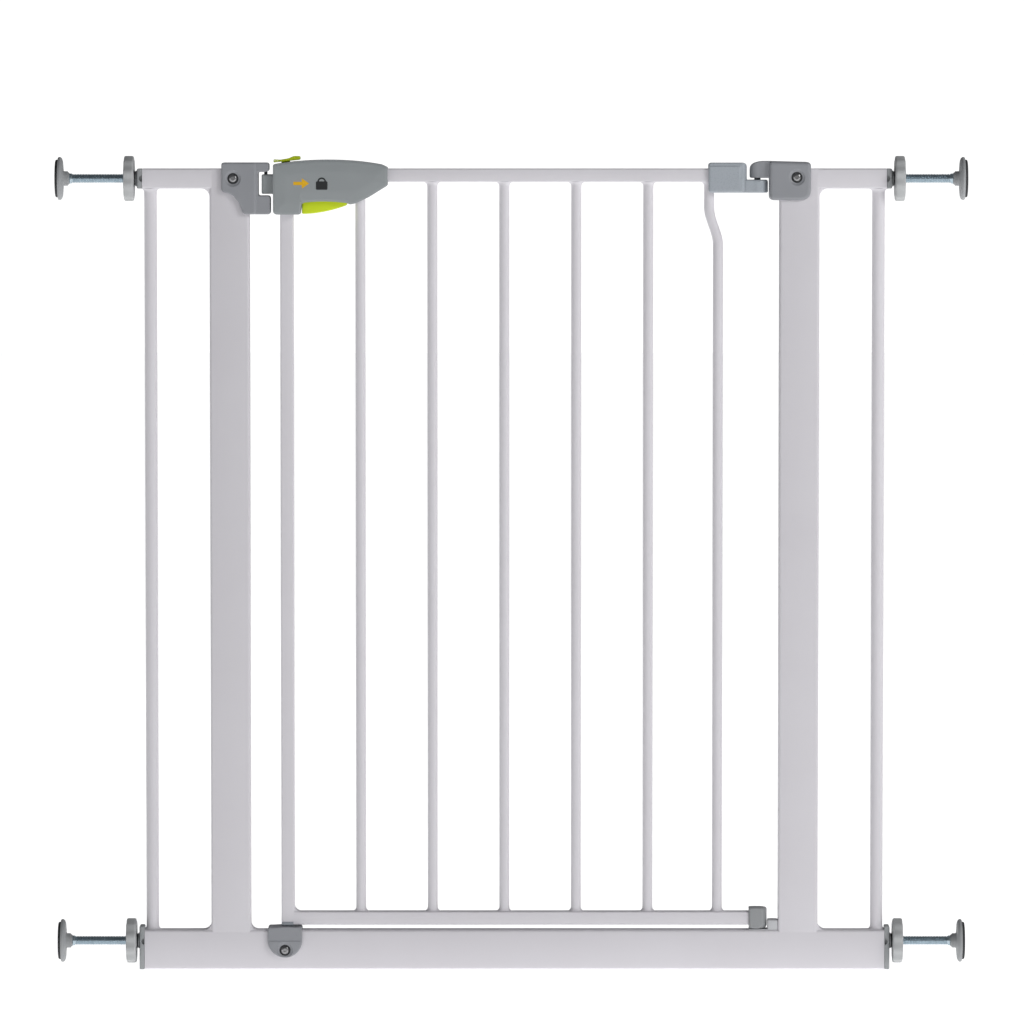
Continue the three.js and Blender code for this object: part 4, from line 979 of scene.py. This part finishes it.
# The post's hinge bracket, with its arm over the leaf's.
x0, x1, y0, y1, z0, z1 = node_box("post_hinge_bracket")
body_left, arm_low = hinge_x + 11.2, stile[5] - 8.9
bracket = outlined(
    "post_hinge_bracket_moulded",
    rounded(
        [
            (body_left, z1, 0),
            (x1, z1 - 1, 4.2),
            (x1, z0, 10),
            (body_left, z0, 4.2),
        ]
    ),
    y0,
    y1,
)
soften(bracket, 3.0, 6)
arm_loop = [(hinge_x - 7.5, arm_low + 1), (hinge_x - 6.6, arm_low), (body_left + 4, arm_low)]
arm_loop += [(body_left + 4, z1), (hinge_x + 4.5, z1), (hinge_x + 1, z1 - 0.4)]
arm_loop += [(hinge_x - 3, z1 - 1.6), (hinge_x - 5.6, z1 - 3.2), (hinge_x - 7, z1 - 5.2)]
arm_loop += [(hinge_x - 7.5, z1 - 7.5)]
arm = soften(outlined("arm", arm_loop, -9.5, 9.5), 1.6, 4, 50)
plan = turned(
    "arm_plan", [(0, z0), (7.5, z0), (7.5, z1 + 1), (0, z1 + 1)], (hinge_x, 0, 0), steps=48
)
flare = [(hinge_x, -7.4), (body_left - 4, -7.6), (body_left + 1, -9.4), (body_left + 6, -9.4)]
flare += [(a, -b) for a, b in reversed(flare)]
join(plan, plan_plate("shank", flare, z0 - 1, z1 + 2))
common(arm, plan)
pin_bottom = node_box("top_hinge_pin")[4]
cut(
    join(bracket, arm),
    block("post_pocket", post_in - 0.3, x1 + 20, -POST_POCKET, POST_POCKET, z0 - 10, stile[5] + 0.3),
    rod("pin_bore", PIN_BORE, (hinge_x, 0, pin_bottom - 0.3), 19.8),
    screw_seat("post_hinge_screw", y0),
)
blended(bracket, rounds=8)
finished(bracket, "frame", keeper_grey, "grey_plastic", "post_hinge_bracket", angle=60)

# The leaf's hinge bracket: a block over the rail's end and a low round-ended arm.
x0, x1, y0, y1, z0, z1 = node_box("leaf_hinge_bracket")
shoulder, arm_top = hinge_x - 10.2, stile[5] - 10.6
head = outlined(
    "leaf_hinge_bracket_moulded",
    rounded([(x0, z0, 3.0), (shoulder, z0, 0), (shoulder, z1, 4.2), (x0, z1, 3.2)]),
    y0,
    y1,
)
soften(head, 2.1, 5)
# Its faces fall away in a broad round at the right.
round_right = rounded([(x0 - 9, y0, 0), (shoulder, y0, 8), (shoulder, y1, 8), (x0 - 9, y1, 0)])
common(head, plan_plate("plan", round_right, z0 - 1, z1 + 1))
# A shallow step along the top and down the right catches the light.
for skin, far_skin in ((y0 - 1, y0 + 0.7), (y1 - 0.7, y1 + 1)):
    cut(head, soften(block("step", x0 - 3, x1, skin, far_skin, z1 - 3.6, z1 + 3), 0.4, 2))
    cut(head, soften(block("step", shoulder - 6.6, x1, skin, far_skin, z0 + 13, z1 + 3), 0.4, 2))
arm = turned(
    "arm",
    [(0, z0), (9.2, z0), (10, z0 + 0.8), (10, arm_top - 1.2), (9, arm_top), (0, arm_top)],
    (hinge_x, 0, 0),
    steps=64,
)
web = block("web", shoulder - 2, hinge_x, -9.5, 9.5, z0, arm_top)
soften(web, 1.0, 3)
join(head, arm, web)
cut(
    head,
    block(
        "rail_pocket", x0 - 5, shoulder - 6, -LEAF_POCKET, LEAF_POCKET, top_rail[4] - 0.3, top_rail[5] + 0.3,
    ),
    block("bar_slot", x0 - 5, node_box("leaf_bent_bar")[0] + 9.9, -BAR_SLOT, BAR_SLOT, z0 - 1, top_rail[4]),
    rod("pin_bore", PIN_BORE, (hinge_x, 0, pin_bottom - 0.3), 19.8),
)
blended(head, rounds=4)
finished(head, "leaf", hinge_grey, "hinge_grey_plastic", "leaf_hinge_bracket", angle=60)

# The plate and peg on the base rail.
x0, x1, y0, y1, z0, z1 = node_box("bottom_hinge_plate")
plate = soften(block("bottom_hinge_plate_pressed", x0, x1, y0, y1, z0, z0 + 0.7), 0.25, 2)
tab = soften(block("tab", x1 - 10, x1, y0, y1, z0, z0 + 9.7), 1.3, 3)
peg = turned("peg", [(0, z0 + 0.3), (3, z0 + 0.3), (3, z1 - 0.8), (2.2, z1), (0, z1)], (hinge_x, 0, 0))
finished(join(plate, tab, peg), "frame", tab_grey, "hinge_grey_plastic", "bottom_hinge_plate")

# The leaf's shoe turns on that peg.
x0, x1, y0, y1, z0, z1 = node_box("bottom_hinge_shoe")
left = hinge_x - 6.8
disc = turned(
    "bottom_hinge_shoe_moulded",
    [(0, z0), (7.4, z0), (9.6, z0 + 1.2), (10.5, z0 + 3.2), (10.5, z1 - 1.8), (9.4, z1 - 0.5)]
    + [(5.4, z1 - 0.45), (4.6, z1), (0, z1)],
    (hinge_x, 0, 0),
    steps=64,
)
cheeks = soften(block("cheeks", left, x1 + 5, -9, 9, z0 - 1, z1 + 1), 1.2, 3)
common(disc, cheeks)
rail_mid = (low_rail[4] + low_rail[5]) / 2
tenon = soften(block("tenon", x0, left + 0.5, -4.85, 4.85, rail_mid - 4.85, rail_mid + 4.85), 0.5, 2)
lip = soften(block("lip", left - 0.1, left + 4, -7.6, 7.6, z1 - 3.6, z1 - 0.5), 0.6, 2)
join(disc, tenon, lip)
cut(disc, rod("peg_bore", PIN_BORE, (hinge_x, 0, z0 - 1), 15))
finished(blended(disc), "leaf", shoe_grey, "hinge_grey_plastic", "bottom_hinge_shoe", angle=60)

# The plug in the stile's foot.
x0, x1, y0, y1, z0, z1 = node_box("stile_end_plug")
foot_top = stile[4]
foot = soften(block("stile_end_plug_moulded", x0, x1, y0, y1, z0, foot_top), 0.9, 3)
sleeve = soften(block("sleeve", x0 + 1.4, x1 - 1.4, y0 + 1.4, y1 - 1.4, foot_top - 1, z1), 0.5, 2)
join(foot, sleeve)
cut(foot, rod("rod_bore", PIN_BORE, (stile_x, 0, z0 - 1), z1 - z0 + 2))
finished(foot, "leaf", hinge_grey, "hinge_grey_plastic", "stile_end_plug")

# ---- Latch ----
x0, x1, y0, y1, z0, z1 = node_box("housing_front")
datum_x, datum_z = stile[0], stile[5]
HOUSING_LEFT, HOUSING_RIGHT, HOUSING_BOTTOM = -6.55, 102.45, -43.7  # from the datum
NOTCH_TOP = -33
FACE_CROWN = 0.9  # the face falls away this far towards the housing's edge
hx0, hx1 = datum_x + HOUSING_LEFT, x1
half_depth, wall = -y0, 2.2
rocker_x, rocker_up = datum_x - 3.65, datum_z - 14.25
pivot_x, pivot_z = datum_x + 62.35, datum_z - 28


def curve(start, first, second, end, steps=20):
    """Points along a smooth curve with two handles."""
    places = []
    for i in range(steps + 1):
        t = i / steps
        places.append(
            [
                (1 - t) ** 3 * a + 3 * t * (1 - t) ** 2 * b + 3 * t * t * (1 - t) * c + t**3 * d
                for a, b, c, d in zip(start, first, second, end)
            ]
        )
    return places


def crown_curve(inset=0, steps=20):
    """The housing's arched top, from its right end to its left, drawn in by an inset."""
    right, left = HOUSING_RIGHT - inset, HOUSING_LEFT + inset
    handles = (65.35, 11 - inset), (23.35, 9.2 - inset)
    return curve((right, 2.7 - inset), *handles, (left, 4.2 - inset), steps)


def housing_loop(inset):
    """The housing's side view without its tongue, drawn in by an inset, from the latch's datum."""
    left, right, bottom = HOUSING_LEFT + inset, HOUSING_RIGHT - inset, HOUSING_BOTTOM + inset
    notch, notch_top, slope = 19.55 - inset, NOTCH_TOP + inset, inset * 1.18
    corner = 4.2 if inset == 0 else 1.5
    foot = [(left, bottom + 20, 0), (left, bottom, corner), (notch, bottom, corner / 2)]
    loop = rounded([*foot, (notch, bottom + 20, 0)], 4)[1:-1]
    loop += [Vector((notch + 1.2, notch_top - 1))]
    turn_in = (notch + 5.8 + inset, notch_top + 1)
    handles = (notch + 2.2, notch_top + 0.4), (notch + 3.2, notch_top + 0.9)
    roof = curve((notch + 1.2, notch_top - 1), *handles, turn_in, 5)
    handles = (37, notch_top + 2.2), (50, notch_top + 2.2)
    roof += curve(turn_in, *handles, (63.35, notch_top + 0.4), 8)[1:]
    loop += [Vector(p) for p in roof[1:]]
    loop += [Vector(p) for p in ((66.75, -34 + slope), (72.35, -33 + slope), (84.85, -27 + slope))]
    loop += [Vector((right - 0.8, -16.6 + slope / 2)), Vector((right, -15.4 + slope / 2))]
    crown = crown_curve(inset)
    crown[-2:] = [[left + 1.2, 4.3 - inset], [left + 0.3, 3.7 - inset], [left, 2.6 - inset]]
    loop += [Vector((right, 1.2 - inset))] + [Vector(p) for p in crown[1:]]
    return [(datum_x + p[0], datum_z + p[1]) for p in loop]


def crown_height(x):
    """How high the housing's top is above the datum at x."""
    best = min(crown_curve(steps=60), key=lambda point: abs(point[0] + datum_x - x))
    return best[1] + datum_z


heights = {round(x): crown_height(x) for x in range(round(hx0) - 2, round(hx1) + 3)}


def swell(x, z):
    """From 0 at the housing's edge to 1 well inside it, for the soft crown of its faces."""
    top = heights.get(round(x), datum_z) - z
    if x < datum_x + 20:
        low = z - (datum_z + HOUSING_BOTTOM)
    else:
        low = z - (datum_z + NOTCH_TOP + max(0, x - datum_x - 72) * 0.56)
    near = min(x - hx0, hx1 - x, top, low) / 13
    t = min(max(near, 0), 1)
    return t * t * (3 - 2 * t)


def housing_shell(name, side, node):
    """One half of the housing, hollow, with its bosses, openings and crowned face; side is -1 in front."""
    def depth(a, b):
        return (min(side * a, side * b), max(side * a, side * b))

    shell = outlined(name, housing_loop(0), *depth(0, half_depth))
    rim = side * half_depth
    round_edges(shell, lambda a, b: abs(a.y - rim) < 0.01 and abs(b.y - rim) < 0.01, 2.2, 4)
    tongue = block("tongue", datum_x - 17.45, hx0 + 6, *depth(0, 9), datum_z - 24, datum_z - 5.5)
    round_edges(tongue, lambda a, b: min(abs(a.y), abs(b.y)) > 8.9, 1.4, 4)
    round_edges(tongue, lambda a, b: abs(a.y - b.y) > 5 and a.x < hx0, 1.2, 3)
    join(shell, tongue)
    hollow = outlined("hollow", housing_loop(wall), *depth(-1, half_depth - wall))
    cut(
        shell,
        hollow,
        block("tongue_hollow", datum_x - 15.25, hx0 + 6, *depth(-1, 6.8), datum_z - 21.8, datum_z - 7.7),
    )
    inner = half_depth - wall + 0.4

    def reach(y):
        return inner - y

    def start(y):
        return y if side > 0 else -inner

    join(
        shell,
        rod("rocker_boss", 3.2, (rocker_x, start(1.7), rocker_up), reach(1.7), "Y", 24),
        rod("trigger_boss", 3.2, (pivot_x, start(10), pivot_z), reach(10), "Y", 24),
    )
    for i in (1, 2):
        x, z = screw_place(f"housing_screw_{i}")
        join(shell, rod("screw_boss", 3.2, (x, start(0), z), reach(0), "Y", 24))
    tools = [
        block(
            "stile_way", datum_x - 0.3, stile[1] + 0.3, -LEAF_POCKET, LEAF_POCKET,
            datum_z - 50, datum_z - 37.7,
        ),
        block("rail_way", hx1 - 6, hx1 + 1, -LEAF_POCKET, LEAF_POCKET, datum_z - 13, datum_z + 0.3),
        block("bar_way", -152.1, -141.9, -BAR_SLOT, BAR_SLOT, datum_z - 43, datum_z - 12.7),
        block("trigger_way", datum_x + 16.95, pivot_x + 4, -10, 10, datum_z - 46.7, pivot_z),
        rod("bolt_way", 1.9, (bolt_x, 0, datum_z - 10.5), 6),
        block("slide_way", datum_x + 0.65, datum_x + 18.05, -3.2, 3.2, datum_z + 1, datum_z + 13),
        rod("rocker_pin_hole", 1.8, (rocker_x, -9.3, rocker_up), 18.6, "Y", 20),
        rod("trigger_pin_hole", 1.8, (pivot_x, -13.3, pivot_z), 26.6, "Y", 20),
    ]
    for i in (1, 2):
        x, z = screw_place(f"housing_screw_{i}")
        tools.append(rod("screw_hole", 1.7, (x, -6.8, z), 30, "Y", 20))
        tools.append(rod("screw_seat", 2.9, (x, 13.5, z), 5, "Y", 28))
    cut(shell, *tools)
    # The fine mesh also gives the face enough points to crown.
    blended(shell, rounds=2, keep=0.4)

    def crowned(x, y, z):
        if side * y > half_depth - 1.4 and x > hx0:
            y -= side * FACE_CROWN * (1 - swell(x, z)) * min((side * y - half_depth + 1.4) / 1.0, 1)
        return x, y, z

    reshape(shell, crowned)
    return finished(shell, "leaf", housing_grey, "grey_plastic", node, angle=50)


housing_shell("housing_front_moulded", -1, "housing_front")
housing_shell("housing_rear_moulded", 1, "housing_rear")

# ---- Latch works ----
x0, x1, y0, y1, z0, z1 = node_box("slide_lock")
slide = outlined(
    "slide_lock_moulded",
    rounded(
        [
            (x0, datum_z + 5.8, 1.0),
            (x1, datum_z + 8.4, 1.3),
            (x1, datum_z + 11.8, 1.4),
            (x1 - 6.5, z1, 1.6),
            (x1 - 11, datum_z + 9.8, 2),
            (x0 + 6, datum_z + 8.4, 0),
            (x0, datum_z + 8.7, 1.0),
        ]
    ),
    y0,
    y1,
)
soften(slide, 0.5, 3)
stem = block("stem", datum_x + 1.35, datum_x + 9.35, -2.9, 2.9, datum_z + 1.4, datum_z + 8.3)
heel = soften(block("heel", datum_x + 1.35, datum_x + 9.35, -6, 6, datum_z + 0.8, datum_z + 2.2), 0.3, 2)
join(slide, stem, heel)
# The lip at its left is split into two prongs.
cut(slide, block("slit", x0 - 1, x0 + 5, y0 - 1, y1 + 1, datum_z + 7.1, datum_z + 7.45))
# Three grip lines across the thumb bump.
for i in range(3):
    place = x1 - 4.6 + 1.5 * i
    cut(slide, rod("grip", 0.35, (place, -5.5, z1 + 0.12), 11, "Y", 12))
finished(slide, "slide_lock", lime, "lime_plastic", "slide_lock", angle=45)

x0, x1, y0, y1, z0, z1 = node_box("trigger")
lever_left = datum_x + 20.95
handles = (datum_x + 34, datum_z - 43.3), (datum_x + 50, datum_z - 40)
under = curve((lever_left, datum_z - 43.1), *handles, (pivot_x + 1, pivot_z - 7.0), 12)
lever_loop = [tuple(point) for point in under]
for i in range(1, 9):
    turn = -math.pi / 3 + (math.pi / 3 + math.pi / 2) * i / 8
    lever_loop.append((pivot_x + 3.8 * math.cos(turn), pivot_z + 3.8 * math.sin(turn)))
handles = (datum_x + 48, pivot_z + 3.8), (datum_x + 30, pivot_z + 3.0)
back = curve((pivot_x, pivot_z + 3.8), *handles, (lever_left, pivot_z + 2.5), 8)
lever_loop += [tuple(point) for point in back[1:]]
lever = outlined("trigger_moulded", lever_loop, y0, y1)
soften(lever, 1.3, 4, 45)
arm = soften(block("arm", x0, lever_left + 2, -1.2, 1.2, arm_z - 1.3, arm_z + 1.3), 0.5, 3)
cut(join(lever, arm), rod("pin_hole", 1.8, (pivot_x, -20, pivot_z), 40, "Y", 24))
finished(lever, "trigger", lime, "lime_plastic", "trigger")

x0, x1, y0, y1, z0, z1 = node_box("bolt_rod")
collar_top = datum_z - 124
rod_profile = [(0, z0), (1.6, z0), (2.6, z0 + 0.5), (3, z0 + 1.4), (3, collar_top - 3)]
rod_profile += [(4.2, collar_top - 3), (4.5, collar_top - 2.7), (4.5, collar_top - 0.3)]
rod_profile += [(4.2, collar_top), (3, collar_top), (3, z1 - 0.6), (2.5, z1), (0, z1)]
bolt = turned("bolt_rod_turned", rod_profile, (stile_x, 0, 0), steps=32)
cut(
    bolt,
    block("window", stile_x - 8, stile_x + 8, -1.5, 1.5, arm_z - 1.8, arm_z + 1.8),
    block("window", stile_x - 8, stile_x + 8, -1.5, 1.5, rocker_z - 1.8, rocker_z + 1.8),
)
finished(bolt, "bolt_rod", zinc, "zinc_plated_steel", "bolt_rod")

x0, x1, y0, y1, z0, z1 = node_box("top_bolt")
nose_z = rocker_up + 2.95
foot = soften(block("top_bolt_turned", x0, bolt_x + 2.2, y0, y1, z0, nose_z + 3.2), 0.4, 2)
tip = turned(
    "tip",
    [(0, nose_z + 1), (1.6, nose_z + 1), (1.6, z1 - 0.9), (1.2, z1 - 0.2), (0.7, z1), (0, z1)],
    (bolt_x, 0, 0),
    steps=24,
)
cut(
    join(foot, tip),
    block("window", bolt_x - 8, bolt_x + 8, -1.5, 1.5, nose_z - 1.8, nose_z + 1.8),
)
finished(foot, "top_bolt", dark_steel, "dark_steel", "top_bolt")

# ---- The generic mark on the housing: an arrow and a padlock, printed ----


def printed(shape, ink):
    """Lays a flat printed shape onto the crowned face."""
    apply(shape, "REMESH", mode="VOXEL", voxel_size=0.22 * MM)

    def laid(x, y, z):
        face = y0_face + FACE_CROWN * (1 - swell(x, z))
        return x, face - 0.05 if y < (near + far) / 2 else face + 0.4, z

    return finished(reshape(shape, laid), "leaf", ink, "grey_plastic", angle=60)


y0_face = node_box("housing_front")[2]
near, far = y0_face + 0.1, y0_face + 1.2
mark_x, mark_z = datum_x + 22, datum_z - 14
arrow = [(-9, -1.6), (-1, -1.6), (-1, -5), (6, 0), (-1, 5), (-1, 1.6), (-9, 1.6)]
arrow = outlined("arrow_mark", [(mark_x + a, mark_z + b) for a, b in arrow], near, far)
printed(arrow, amber_ink)
lock_x = mark_x + 18
shackle = rod("padlock_mark", 4.2, (lock_x, near, mark_z + 1.5), far - near, "Y", 40)
cut(shackle, rod("gap", 2.7, (lock_x, near - 1, mark_z + 1.5), 5, "Y", 40))
case = outlined(
    "case",
    rounded([(lock_x + a, mark_z + b, 1) for a, b in ((-5.5, -6), (5.5, -6), (5.5, 2), (-5.5, 2))]),
    near,
    far,
)
printed(join(shackle, case), black_ink)

for node in ("rocker", "rocker_pin", "trigger_pin", "spring_bush", "rod_spring"):
    material = {"rocker": dark_steel, "spring_bush": plug_grey}.get(node, bright_steel)
    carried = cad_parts[node]
    carried.data.materials.clear()
    carried.data.materials.append(material)
